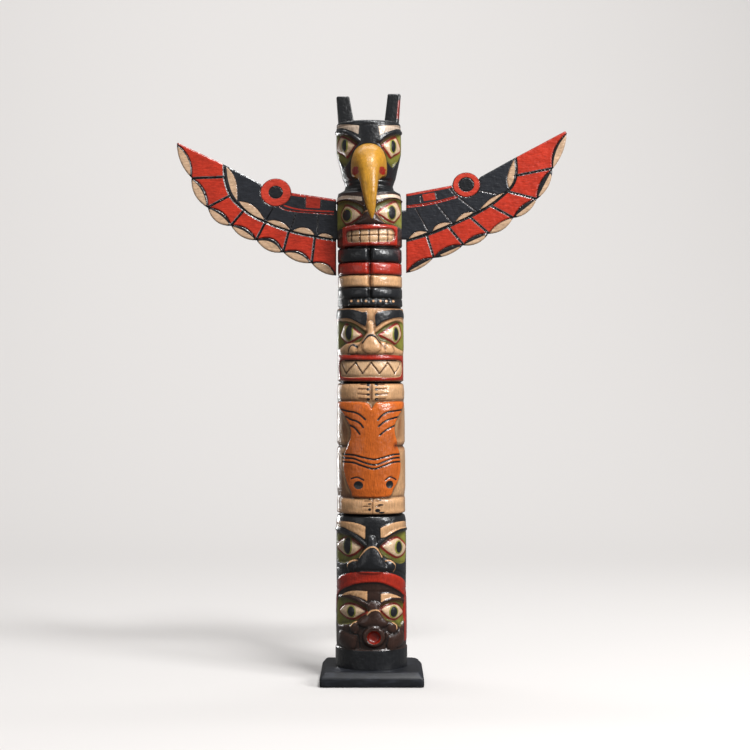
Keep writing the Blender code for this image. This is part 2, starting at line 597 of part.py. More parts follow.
def arc_through(start, end, bulge, steps=5):
    """Points on the arc that leaves the straight line by the bulge, without its last point."""
    (x0, z0), (x1, z1) = start, end
    length = math.hypot(x1 - x0, z1 - z0)
    path = []
    for step in range(steps):
        t = step / steps
        out = bulge * 4 * t * (1 - t)
        path.append((x0 + (x1 - x0) * t + out * (z1 - z0) / length, z0 + (z1 - z0) * t - out * (x1 - x0) / length))
    return path


def wing_metres(points):
    return [(WING_LENGTH * x / 100, WING_LENGTH * z / 100) for x, z in points]


def wing_outline(plan):
    """The board's sawn outline: feather tips, upper edge, ring, bar and the tab at the root."""
    tab = WING_TAB_HEIGHT / 2
    inside = -plan["standoff"] - WING_TAB_DEPTH
    edge = []
    tips = plan["tips"]
    for start, end, bulge in zip(tips, tips[1:], plan["bulges"]):
        edge += arc_through(start, end, bulge * math.dist(start, end))
    edge.append(tips[-1])
    edge += plan["upper_edge"]
    (x, z), (across, up) = plan["ring"], plan["ring_half"]
    for step in range(9):
        turn = math.radians(26 + step * 19)
        edge.append((x + across * math.cos(turn), z + up * math.sin(turn)))
    edge += plan["bar_top"]
    return [(0.0, -tab)] + wing_metres(edge) + [(0.0, tab), (inside, tab), (inside, -tab)]


def wing_grooves(plan):
    ring = ellipse(plan["ring"], plan["ring_half"], 16)
    disc = ellipse(plan["ring"], plan["disc_half"], 16)
    paths = [rounded(plan["inner_line"], closed=False, steps=2)] + [list(pair) for pair in plan["dividers"]]
    paths += [ring + ring[:1], disc + disc[:1]]
    return [wing_metres(path) for path in paths]


def beside(path, side):
    """The path moved to one side, to draw a groove's edge."""
    moved = []
    for index, (x, z) in enumerate(path):
        before, after = path[max(index - 1, 0)], path[min(index + 1, len(path) - 1)]
        if path[0] == path[-1] and index in (0, len(path) - 1):
            before, after = path[-2], path[1]
        dx, dz = after[0] - before[0], after[1] - before[1]
        length = math.hypot(dx, dz)
        moved.append(Vector((x - side * dz / length, z + side * dx / length)))
    return moved


def make_wing(name, plan, place):
    """A sawn board with its feathers cut in the front face as V grooves."""
    outline = wing_outline(plan)
    grooves = wing_grooves(plan)
    half = FEATHER_GROOVE_WIDTH / 2
    points = [Vector(p) for p in outline]
    edges = []
    for path in grooves:
        for side in (-half, 0.0, half):
            first = len(points)
            points += beside(path, side)
            edges += [(k, k + 1) for k in range(first, len(points) - 1)]
    flat, _, faces, _, _, _ = geometry.delaunay_2d_cdt(points, edges, [tuple(range(len(outline)))], 1, 1e-6)
    across = np.array([p.x for p in flat])
    up = np.array([p.y for p in flat])
    cut = np.zeros(len(flat))
    for path in grooves:
        share = np.clip(1 - distance_to(path, across, up, False) / half, 0, 1)
        cut = np.maximum(cut, FEATHER_GROOVE_DEPTH * share)
    front = WING_THICKNESS / 2
    corners = [(across[k], -front + cut[k], up[k]) for k in range(len(flat))]
    middles = np.array([[across[list(face)].mean(), up[list(face)].mean()] for face in faces])
    inside = distance_to(outline, middles[:, 0], middles[:, 1], True) > 0
    kept = [tuple(face) for face, keep in zip(faces, inside) if keep]
    steps = {(a, b) for face in kept for a, b in zip(face, face[1:] + face[:1])}
    border = {a: b for a, b in steps if (b, a) not in steps}
    loop = [min(border)]
    while border[loop[-1]] != loop[0]:
        loop.append(border[loop[-1]])
    back = {index: len(corners) + order for order, index in enumerate(loop)}
    corners += [(across[index], front, up[index]) for index in loop]
    kept += [(b, a, back[a], back[b]) for a, b in zip(loop, loop[1:] + loop[:1])]
    kept.append(tuple(back[index] for index in reversed(loop)))
    used = sorted({index for face in kept for index in face})
    renumber = {old: new for new, old in enumerate(used)}
    mesh = mesh_from(name, [corners[index] for index in used],
                     [tuple(renumber[index] for index in face) for face in kept])
    wing = new_object(name, mesh, (0.52, 0.055, 0.022), 0.40)
    mesh.transform(place)
    if place.determinant() < 0:
        mesh.flip_normals()
    shade(wing, 30)


def wing_place(side, standoff):
    """Where a wing's root middle stands; the left one grows the other way."""
    reach = log_radius(WING_LEVEL) + standoff
    flip = Matrix.Diagonal((side, 1, 1, 1))
    return Matrix.Translation((log_centre(WING_LEVEL) + side * reach, 0, WING_LEVEL)) @ flip


def cut_mortise(log, name, standoff, place):
    """A slot for the wing's tab, as deep as the tab and a clearance wider all round."""
    tab = WING_TAB_HEIGHT / 2 + MORTISE_CLEARANCE
    inside = -standoff - WING_TAB_DEPTH - MORTISE_CLEARANCE
    outside = WING_TAB_DEPTH
    half = WING_THICKNESS / 2 + MORTISE_CLEARANCE
    rings = []
    for x in (inside, outside):
        rings.append([(x, -half, -tab), (x, half, -tab), (x, half, tab), (x, -half, tab)])
    mesh = loft(name, rings)
    mesh.transform(place)
    if place.determinant() < 0:
        mesh.flip_normals()
    boolean(log, make_cutter(name, mesh), "DIFFERENCE")


def make_board():
    """Square board with a long slope along its upper edges and eased corners."""
    half = BOARD_WIDTH / 2
    outline = []
    for corner, size in enumerate(BOARD_CORNERS):
        middle = math.radians(-135 + 90 * corner)
        x = math.copysign(half - size, math.cos(middle))
        y = math.copysign(half - size, math.sin(middle))
        for step in range(5):
            turn = middle - math.pi / 4 + math.pi / 2 * step / 4
            outline.append((x + size * math.cos(turn), y + size * math.sin(turn)))
    rings = []
    for level, inset in ((0.0, 0.0), (BOARD_HEIGHT - BOARD_SLOPE_DROP, 0.0), (BOARD_HEIGHT, BOARD_SLOPE_RUN)):
        share = 1 - inset / half
        rings.append([(x * share, y * share, level) for x, y in outline])
    board = new_object("base_board", loft("base_board", rings), (0.022, 0.022, 0.025), 0.55)
    shade(board, 30)


def main():
    for obj in list(bpy.data.objects):
        bpy.data.objects.remove(obj, do_unlink=True)
    make_board()
    log = make_log()
    boolean(log, make_ear(1, EAR_HEIGHT), "UNION")
    boolean(log, make_ear(-1, EAR_HEIGHT - EAR_DROP_LEFT), "UNION")
    make_beak(log)
    for name, side, plan in (("wing_right", 1, RIGHT_WING), ("wing_left", -1, LEFT_WING)):
        place = wing_place(side, plan["standoff"])
        make_wing(name, plan, place)
        cut_mortise(log, name + "_mortise", plan["standoff"], place)


main()
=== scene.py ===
import math

import bmesh
import bpy
import numpy as np
from mathutils import Matrix, Vector, geometry


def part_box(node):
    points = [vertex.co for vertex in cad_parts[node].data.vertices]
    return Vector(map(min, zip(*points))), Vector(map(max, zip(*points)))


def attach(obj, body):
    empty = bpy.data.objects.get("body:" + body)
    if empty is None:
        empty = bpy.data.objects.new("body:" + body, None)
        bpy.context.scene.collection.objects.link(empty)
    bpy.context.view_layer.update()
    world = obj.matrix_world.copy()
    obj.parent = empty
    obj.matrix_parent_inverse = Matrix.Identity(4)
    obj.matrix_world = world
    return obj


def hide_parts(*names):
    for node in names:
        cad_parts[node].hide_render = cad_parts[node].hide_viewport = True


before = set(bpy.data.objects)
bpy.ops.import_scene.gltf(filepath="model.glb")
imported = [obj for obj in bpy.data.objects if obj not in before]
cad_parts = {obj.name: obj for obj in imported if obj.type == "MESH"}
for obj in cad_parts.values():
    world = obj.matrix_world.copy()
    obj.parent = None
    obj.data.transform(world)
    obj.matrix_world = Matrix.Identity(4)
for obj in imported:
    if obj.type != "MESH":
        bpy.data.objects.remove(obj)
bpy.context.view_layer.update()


# Base board: one square of softwood with a long slope planed along its upper edges and its
# corners eased. It is stained black and rubbed back to a satin, and the log is glued on it.

BOARD_SLOPE_DROP = 0.006
BOARD_SLOPE_RUN = 0.005
BOARD_CORNERS = (0.003, 0.003, 0.011, 0.004)
BOARD_ARRIS = 0.0016
CORNER_SEGMENTS = 6
ARRIS_SEGMENTS = 3
ARRIS_FROM_DEGREES = 25
BOARD_CREASE_DEGREES = 35
SAME_PLACE = 0.00001
FACES_UP = 0.9
BOARD_GRAIN = (60, 900, 900)
RUBBED_PATCHES = 90.0
BLACK_STAIN = "#16181d"
BLACK_STAIN_WORN = "#2c2f38"


def select_none():
    if bpy.context.object and bpy.context.object.mode != "OBJECT":
        bpy.ops.object.mode_set(mode="OBJECT")
    bpy.ops.object.select_all(action="DESELECT")


def make_active(obj):
    select_none()
    obj.select_set(True)
    bpy.context.view_layer.objects.active = obj


def apply_modifiers(obj):
    make_active(obj)
    for modifier in list(obj.modifiers):
        bpy.ops.object.modifier_apply(modifier=modifier.name)


def settle(obj):
    """Move the place, turn and size into the mesh, with the object at the origin."""
    make_active(obj)
    bpy.ops.object.transform_apply(location=True, rotation=True, scale=True)


def linear(code):
    """An sRGB hex colour as linear red, green, blue and alpha."""
    values = [int(code[index:index + 2], 16) / 255 for index in (1, 3, 5)]
    return tuple(v / 12.92 if v <= 0.04045 else ((v + 0.055) / 1.055) ** 2.4 for v in values) + (1.0,)


def add(tree, kind, links=(), **settings):
    """Add a node; links are (socket, value or other node's output), settings are its own."""
    node = tree.nodes.new("ShaderNode" + kind)
    for name, value in settings.items():
        setattr(node, name, value)
    for socket, value in links:
        if isinstance(value, bpy.types.NodeSocket):
            tree.links.new(value, node.inputs[socket])
        else:
            node.inputs[socket].default_value = value
    return node


def new_material(name):
    material = bpy.data.materials.new(name)
    material.use_nodes = True
    tree = material.node_tree
    tree.nodes.clear()
    shader = add(tree, "BsdfPrincipled")
    output = add(tree, "OutputMaterial", [("Surface", shader.outputs["BSDF"])])
    output.location = (400, 0)
    return material, tree, shader


def hand_over(obj, node, material, crease):
    """Shade the piece smooth up to a crease angle in degrees, give it its finish, hang it on the
    root body and hide the CAD part that it stands for."""
    make_active(obj)
    bpy.ops.object.shade_smooth_by_angle(angle=math.radians(crease))
    obj.data.materials.clear()
    obj.data.materials.append(material)
    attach(obj, "root")
    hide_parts(node)


def stained_board():
    """Black wood stain on planed softwood: satin, with the grain's ridges rubbed paler. Noise
    scales are cells per metre, so the grain is about 1 mm wide and 17 mm long."""
    material, tree, shader = new_material("black_stained_softwood")
    place = add(tree, "TexCoord")
    along = add(tree, "Mapping", [("Vector", place.outputs["Object"]), ("Scale", BOARD_GRAIN)])
    grain = add(tree, "TexNoise", [("Vector", along.outputs["Vector"]), ("Scale", 1.0), ("Detail", 5.0)])
    rubbed = add(tree, "TexNoise", [("Vector", place.outputs["Object"]), ("Scale", RUBBED_PATCHES),
                                    ("Detail", 4.0)])
    worn = add(tree, "Math", [(0, grain.outputs["Fac"]), (1, rubbed.outputs["Fac"])], operation="MULTIPLY")
    share = add(tree, "MapRange", [("Value", worn.outputs["Value"]), ("From Min", 0.22),
                                   ("From Max", 0.42)])
    colour = add(tree, "Mix", [("Factor", share.outputs["Result"]), ("A", linear(BLACK_STAIN)),
                               ("B", linear(BLACK_STAIN_WORN))], data_type="RGBA")
    rough = add(tree, "MapRange", [("Value", grain.outputs["Fac"]), ("To Min", 0.36), ("To Max", 0.58)])
    bump = add(tree, "Bump", [("Height", grain.outputs["Fac"]), ("Strength", 0.35), ("Distance", 0.0004)])
    tree.links.new(colour.outputs["Result"], shader.inputs["Base Color"])
    tree.links.new(rough.outputs["Result"], shader.inputs["Roughness"])
    tree.links.new(bump.outputs["Normal"], shader.inputs["Normal"])
    return material


low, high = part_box("base_board")
board_width = high[0] - low[0]
board_height = high[2] - low[2]
select_none()
bpy.ops.mesh.primitive_cube_add(size=1, location=(0, 0, (board_height - BOARD_SLOPE_DROP) / 2))
board = bpy.context.object
board.name = "board"
board.scale = (board_width, board_width, board_height - BOARD_SLOPE_DROP)
settle(board)
shape = bmesh.new()
shape.from_mesh(board.data)
for (x, y), size in zip(((-1, -1), (1, -1), (1, 1), (-1, 1)), BOARD_CORNERS):
    corner = Vector((x, y)) * board_width / 2
    upright = [edge for edge in shape.edges
               if all((vert.co.xy - corner).length < SAME_PLACE for vert in edge.verts)]
    bmesh.ops.bevel(shape, geom=upright, offset=size, segments=CORNER_SEGMENTS, affect="EDGES", profile=0.5)
top = [face for face in shape.faces if face.normal.z > FACES_UP]
raised = bmesh.ops.extrude_face_region(shape, geom=top)
rim = [item for item in raised["geom"] if isinstance(item, bmesh.types.BMVert)]
bmesh.ops.delete(shape, geom=top, context="FACES_ONLY")
inner = 1 - 2 * BOARD_SLOPE_RUN / board_width
for vert in rim:
    vert.co.x *= inner
    vert.co.y *= inner
    vert.co.z = board_height
shape.to_mesh(board.data)
shape.free()
arris = board.modifiers.new("arris", "BEVEL")
arris.width = BOARD_ARRIS
arris.segments = ARRIS_SEGMENTS
arris.limit_method = "ANGLE"
arris.angle_limit = math.radians(ARRIS_FROM_DEGREES)
apply_modifiers(board)
hand_over(board, "base_board", stained_board(), BOARD_CREASE_DEGREES)


# Log: one length of cedar, turned nearly round and carved from the front with five figures
# stacked on a plain collar, its two ears left standing at the top. Each figure is brushed in
# artist's paint, toned brown in its cuts and round the feet of its raised forms, as glaze and
# as painted shade, and varnished. The back is left plain.

LOG_FOOT_RADIUS = 0.0377
LOG_HEAD_RADIUS = 0.0340
LOG_LEAN = -0.0030
LOG_SET_OVER = -0.0006
COLLAR_HEIGHT = 0.020
OWL_HEIGHT = 0.062
WHALE_HEIGHT = 0.077
BEAR_BODY_HEIGHT = 0.137
BEAR_FACE_HEIGHT = 0.078
WARRIOR_HEIGHT = 0.1175
EAGLE_HEIGHT = 0.0745
HEAD_RIM = 0.0012
LOG_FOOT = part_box("pole")[0][2]
COLLAR_TOP = LOG_FOOT + COLLAR_HEIGHT
OWL_TOP = COLLAR_TOP + OWL_HEIGHT
WHALE_TOP = OWL_TOP + WHALE_HEIGHT
BODY_TOP = WHALE_TOP + BEAR_BODY_HEIGHT
BEAR_TOP = BODY_TOP + BEAR_FACE_HEIGHT
WARRIOR_TOP = BEAR_TOP + WARRIOR_HEIGHT
HEAD_TOP = WARRIOR_TOP + EAGLE_HEIGHT + HEAD_RIM

SOCKET_DEPTH = 0.0030
EYE_RISE = 0.0024
BROW_RISE = 0.0014
NOSE_RISE = 0.0045
NOSTRIL_RISE = 0.0022
LIP_RISE = 0.0018
MOUTH_DEPTH = 0.0030
TEETH_RISE = 0.0022
LINE_WIDTH = 0.0018
LINE_DEPTH = 0.0010
SOCKET_EDGE = 0.0030
PATCH_EDGE = 0.0016
EDGING_RISE = 0.0003
SHADE_AND_GLAZE_LINE = 0.0008
IRIS_RIM = 0.0012
IRIS_RISE = 0.0005
PUPIL_SPREAD = 1.10
SPLIT_WIDTH = 0.0034
SPLIT_DEPTH = 0.0026
FISH_RISE = 0.0026

ROWS = 600
FRONT_COLUMNS = 124
BACK_COLUMNS = 34
FRONT_TURN = math.radians(75)
BACK_EASING = 0.10
TOP_ROWS = 6
LOG_MERGE = 0.00002
LOG_CREASE_DEGREES = 60
MILLIMETRES = 1000

PAINTS = ("brown", "cream", "orange", "green", "eyelid", "iris", "pupil", "red", "black", "pale", "brown_glaze_and_shade",
          "teeth", "cream_dot")
FAR_FROM_PAINT = -20.0
# Brown glaze and painted shade: how far it reaches round raised and sunk forms, and how much stays on a
# raised top.
SHADE_AND_GLAZE_REACH = 0.0024
SHADE_AND_GLAZE_SPREAD = 0.8
SHADE_AND_GLAZE_LEFT_ON_TOP = 0.25
SIDE_SHARE = 0.35
AREA_MARGIN = 0.003
LINE_MARGIN = 0.002
CUTS_FADE_FROM = math.radians(55)
CUTS_END_AT = math.radians(80)


def log_share(level):
    return (level - LOG_FOOT) / (HEAD_TOP - LOG_FOOT)


def log_radius(level):
    return LOG_FOOT_RADIUS + (LOG_HEAD_RADIUS - LOG_FOOT_RADIUS) * log_share(level)


def log_centre(level):
    return LOG_SET_OVER + LOG_LEAN * log_share(level) ** 2


def smoothstep(value):
    value = np.clip(value, 0.0, 1.0)
    return value * value * (3.0 - 2.0 * value)


def rounded(points, closed=True, steps=6):
    """A smooth curve through the points; a point given twice stays a corner."""
    count = len(points)
    path = []
    for index in range(count if closed else count - 1):
        if closed:
            a, b, c, d = (points[(index + k) % count] for k in (-1, 0, 1, 2))
        else:
            a, b, c, d = (points[min(max(index + k, 0), count - 1)] for k in (-1, 0, 1, 2))
        if b == c:
            continue
        for step in range(steps):
            t = step / steps
            path.append(tuple(
                0.5 * (2 * q + (r - p) * t + (2 * p - 5 * q + 4 * r - s) * t * t
                       + (3 * q - p - 3 * r + s) * t ** 3)
                for p, q, r, s in zip(a, b, c, d)))
    if not closed:
        path.append(points[-1])
    return path


def distance_to(path, across, up, closed):
    """Distance of each place from the path; positive inside a closed one and negative outside."""
    nearest = np.full(across.shape, 1e9)
    inside = np.zeros(across.shape, dtype=bool)
    ends = zip(path, path[1:] + path[:1]) if closed else zip(path, path[1:])
    for (x0, z0), (x1, z1) in ends:
        dx, dz = x1 - x0, z1 - z0
        length = dx * dx + dz * dz
        if length < 1e-14:
            continue
        t = np.clip(((across - x0) * dx + (up - z0) * dz) / length, 0.0, 1.0)
        nearest = np.minimum(nearest, np.hypot(across - x0 - t * dx, up - z0 - t * dz))
        if closed and dz:
            crosses = (z0 > up) != (z1 > up)
            inside ^= crosses & (across < x0 + (up - z0) * dx / dz)
    if closed:
        return np.where(inside, nearest, -nearest)
    return nearest


class Panel:
    """A carved and painted surface: relief in metres, for each paint the distance in millimetres
    inside its edge, and a share of brown glaze and painted shade in its hollows. Places are
    percents of the panel's own size."""

    def __init__(self, across, up, relief, paint, size=1.0):
        self.across = across
        self.up = up
        self.relief = relief
        self.paint = paint
        self.size = size
        self.facing = np.ones(len(across))
        self.glaze_and_shade = np.zeros(len(across))

    def place(self, points):
        return [(self.size * x / 100, self.size * z / 100) for x, z in points]

    def near(self, path, margin):
        xs = [p[0] for p in path]
        zs = [p[1] for p in path]
        chosen = np.where((self.across > min(xs) - margin) & (self.across < max(xs) + margin)
                          & (self.up > min(zs) - margin) & (self.up < max(zs) + margin))[0]
        return chosen, self.across[chosen], self.up[chosen]

    def coat(self, paint, chosen, distance):
        field = self.paint[paint]
        field[chosen] = np.maximum(field[chosen], distance * MILLIMETRES)

    # Brown glaze and painted shade: the darkest share asked of each place is kept.
    def brown_glaze_and_shade(self, chosen, share):
        self.glaze_and_shade[chosen] = np.maximum(self.glaze_and_shade[chosen], np.clip(share, 0, 1))

    def area(self, points, rise=0.0, edge=0.002, round_top=False, paint=None):
        """Raise an outlined area, or sink it where the rise is negative, and paint it."""
        path = rounded(self.place(points))
        chosen, across, up = self.near(path, max(edge, AREA_MARGIN))
        distance = distance_to(path, across, up, True)
        if rise:
            share = distance / edge
            if round_top:
                share = np.sqrt(np.clip(1 - (1 - np.clip(share, 0, 1)) ** 2, 0, 1))
            else:
                share = smoothstep(share + 0.5)
            # Brown glaze and painted shade just inside a sunk area's edge and round the foot of a raised one.
            if rise < 0:
                share = share * self.facing[chosen]
                self.brown_glaze_and_shade(chosen, np.where(distance > 0, 1 - distance / SHADE_AND_GLAZE_REACH, 0))
            else:
                share = share * (SIDE_SHARE + (1 - SIDE_SHARE) * self.facing[chosen])
                self.glaze_and_shade[chosen] *= np.where(distance > 0, SHADE_AND_GLAZE_LEFT_ON_TOP, 1.0)
                self.brown_glaze_and_shade(chosen, np.where(distance < 0, 1 + distance / SHADE_AND_GLAZE_REACH, 0))
            self.relief[chosen] += rise * share
        if paint:
            self.coat(paint, chosen, distance)

    def line(self, points, width, depth=0.0, paint=None, spread=1.0):
        """Cut a V groove along a line, or raise a ridge where the depth is negative."""
        path = rounded(self.place(points), closed=False)
        chosen, across, up = self.near(path, width + LINE_MARGIN)
        distance = distance_to(path, across, up, False)
        share = distance / (width / 2)
        if depth < 0:
            self.relief[chosen] -= depth * np.sqrt(np.clip(1 - share * share, 0, 1))
        elif depth:
            self.relief[chosen] -= depth * np.clip(1 - share, 0, 1)
            # Brown glaze and painted shade down the groove.
            self.brown_glaze_and_shade(chosen, 1 - distance / (width * SHADE_AND_GLAZE_SPREAD))
        if paint:
            self.coat(paint, chosen, spread * width / 2 - distance)

    def toned_glaze_and_shade(self, points, edge):
        """Brown wiped into an area, thin at its edge: glaze, and painted shade where shade falls."""
        path = rounded(self.place(points))
        chosen, across, up = self.near(path, 0.0)
        self.brown_glaze_and_shade(chosen, distance_to(path, across, up, True) / edge)

    def spot(self, centre, half, paint, rise=0.0):
        """An oval spot; half is its half width and half height in metres."""
        x, z = self.place([centre])[0]
        reach = max(half)
        chosen, across, up = self.near([(x, z)], 2 * reach)
        radius = np.hypot((across - x) / half[0], (up - z) / half[1])
        self.coat(paint, chosen, (1 - radius) * min(half))
        if rise:
            self.relief[chosen] += rise * np.clip(1 - radius ** 2, 0, 1)

    def scored(self, points, width, depth):
        """A groove with a brown line left in it, as glaze and as painted shade."""
        self.line(points, width, depth)
        self.line(points, SHADE_AND_GLAZE_LINE, paint="brown_glaze_and_shade")

    def both(self, shape, points, *sizes, drop=0.0, **options):
        """The same cut on both sides; the left one may sit lower by the drop."""
        shape(points, *sizes, **options)
        shape([(-x, z - drop) for x, z in points], *sizes, **options)


class Figure(Panel):
    """One figure on the log. Places across are percents of the log's half width as seen from the
    front, wrapped round its sides; places up are percents of the figure's own height."""

    EDGE = 0.94

    def __init__(self, turn, level, relief, paint, foot, height):
        self.radius = log_radius(foot + height / 2)
        super().__init__(turn * self.radius, level, relief, paint)
        self.facing = smoothstep((CUTS_END_AT - np.abs(turn)) / (CUTS_END_AT - CUTS_FADE_FROM))
        self.foot = foot
        self.height = height

    def wrap(self, share):
        if abs(share) <= self.EDGE:
            return self.radius * math.asin(share)
        past = (abs(share) - self.EDGE) / math.sqrt(1 - self.EDGE ** 2)
        return math.copysign(self.radius * (math.asin(self.EDGE) + past), share)

    def place(self, points):
        return [(self.wrap(x / 100), self.foot + self.height * z / 100) for x, z in points]

    def spot(self, centre, half, paint, rise=0.0):
        """An oval spot, its half width as seen from the front."""
        facing = math.sqrt(1 - min(abs(centre[0]) / 100, 0.9) ** 2)
        super().spot(centre, (half[0] / facing, half[1]), paint, rise)

    def turned(self, stations):
        """Change the radius all round by a profile of (percent up, share of the radius)."""
        ups = [self.foot + self.height * up / 100 for up, share in stations]
        shares = [share - 1 for up, share in stations]
        rows = np.where((self.up >= ups[0]) & (self.up <= ups[-1]))[0]
        self.relief[rows] += np.interp(self.up[rows], ups, shares) * self.radius

    def split(self, up, width=SPLIT_WIDTH, depth=SPLIT_DEPTH, paint=None):
        """A V cut all round the log, between two figures or bands."""
        distance = np.abs(self.up - self.foot - self.height * up / 100)
        self.relief -= depth * np.clip(1 - distance / (width / 2), 0, 1)
        # Brown glaze and painted shade in the cut.
        self.brown_glaze_and_shade(slice(None), 1 - distance / width)
        if paint:
            self.coat(paint, slice(None), width / 3 - distance)

    def band(self, low, high, paint):
        """Paint all round between two heights."""
        middle = self.foot + self.height * (low + high) / 200
        half = self.height * (high - low) / 200
        self.coat(paint, slice(None), half - np.abs(self.up - middle))

    def patch(self, points):
        """A cream patch on a brow, a little raised."""
        self.area(points, BROW_RISE / 2, PATCH_EDGE, paint="cream")

    def lit_rim_highlight(self, points, width, paint="cream"):
        """A thin raised ridge along a nose or a nostril, with a painted highlight line along its lit top."""
        self.line(points, width, -EDGING_RISE, paint=paint)

    def socket(self, points):
        """An eye's hollow, painted green."""
        self.area(points, -SOCKET_DEPTH, SOCKET_EDGE, paint="green")

    def mouth(self, points, wall, bulge):
        """A sunk mouth, with the teeth swelling up again inside its wall."""
        self.area(points, -MOUTH_DEPTH, wall, paint="teeth")
        self.area(points, TEETH_RISE, bulge, round_top=True)

    def eye(self, lids, pupil, half, bulge=0.0080):
        """Eyeball domed between its lids, with a green iris round a long black pupil."""
        self.area(lids, EYE_RISE, bulge, round_top=True)
        self.area(lids, paint="eyelid")
        half = (half[0] * PUPIL_SPREAD, half[1] * PUPIL_SPREAD)
        self.spot(pupil, (half[0] + IRIS_RIM, half[1] + IRIS_RIM), "iris", rise=IRIS_RISE)
        self.spot(pupil, half, "pupil")


def carve_owl(figure):
    """Lowest figure: a round dark face with a tube mouth, under the lip of the face above."""
    figure.turned([(0, 0.97), (10, 0.98), (35, 0.99), (80, 0.985), (100, 0.965)])
    figure.band(-0.5, 112, "brown")
    left_brow = [(-84, 88.5), (-72, 94.7), (-53, 98.3), (-32, 99), (-11, 98.5), (-11, 98.5), (-11, 81.8),
                 (-11, 81.8), (-22, 85.4), (-39, 89), (-53, 91), (-68, 91)]
    right_brow = [(27, 94), (27, 94), (45, 94.5), (66, 91.1), (87, 83.5), (87, 83.5), (73, 85.8),
                  (56, 86.8), (39, 84.2), (27, 80), (27, 80)]
    for brow in (left_brow, right_brow):
        figure.patch(brow)
    figure.line([(-92, 84), (-70, 88), (-50, 87.5), (-30, 82), (-10, 76)], 0.0034, -BROW_RISE)
    figure.line([(22, 76), (38, 81.5), (58, 84.5), (74, 83), (90, 79)], 0.0034, -BROW_RISE)
    figure.socket([(-97, 79), (-82, 85), (-60, 83.5), (-34, 77), (-9, 67), (-9, 67), (-31, 55), (-50, 46),
                   (-66, 42), (-97, 41)])
    figure.socket([(21, 69), (21, 69), (37, 77), (59, 81), (80, 80.3), (91, 75), (94, 60), (92, 44),
                   (84, 35.5), (74, 41), (58, 46), (44, 49), (32, 58)])
    figure.eye([(-92, 62), (-80, 73), (-58, 76), (-34, 72), (-12, 64), (-12, 64), (-31, 58), (-52, 51.5),
                (-76, 53)], (-58, 63.5), (0.0033, 0.0047))
    figure.eye([(25, 67.5), (25, 67.5), (42, 73.5), (64, 76), (82, 72), (92, 60), (84, 53), (68, 49.5),
                (52, 53), (38, 60)], (65, 62.5), (0.0034, 0.0049))
    figure.area([(-10, 78), (12, 82), (24, 76), (30, 60), (46, 46), (34, 38), (-18, 38), (-38, 46),
                 (-16, 60)], NOSE_RISE * 0.8, edge=0.0110, round_top=True)
    # Painted highlights along the lit rims of the nose and the nostrils.
    figure.lit_rim_highlight([(-11, 60), (-2, 66), (12, 68), (24, 65), (33, 58), (42, 50)], 0.0014)
    for middle in (-47, 60):
        figure.area([(middle - 14, 38), (middle - 8, 46), (middle + 6, 47), (middle + 14, 38),
                     (middle + 6, 28), (middle - 8, 29)], NOSTRIL_RISE, edge=0.0050, round_top=True)
    figure.lit_rim_highlight([(-56, 39), (-49, 45.2), (-40, 47.9)], 0.0013)
    figure.lit_rim_highlight([(58, 45.6), (66, 41), (68, 34)], 0.0013)
    figure.line([(-60, 40), (-57, 31), (-46, 27), (-37, 25), (-34, 16), (-32, 4)], LINE_WIDTH, LINE_DEPTH,
                paint="black", spread=0.7)
    figure.line([(78, 35), (74, 28), (60, 25), (48, 24), (44, 14), (42, 4)], LINE_WIDTH, LINE_DEPTH,
                paint="black", spread=0.5)
    figure.both(figure.area, [(40, 30), (56, 27), (86, 30), (92, 12), (70, 1), (46, 3)], NOSTRIL_RISE,
                edge=0.0080, round_top=True)
    angles = [2 * math.pi * step / 12 for step in range(12)]
    rim = [(7 + 30 * math.sin(angle), 23 + 17 * math.cos(angle)) for angle in angles]
    cup = [(7 + 18 * math.sin(angle), 22 + 11 * math.cos(angle)) for angle in angles]
    figure.area(rim, LIP_RISE * 1.9, 0.0036)
    figure.area(cup, -MOUTH_DEPTH * 1.6, edge=0.0052, round_top=True, paint="red")


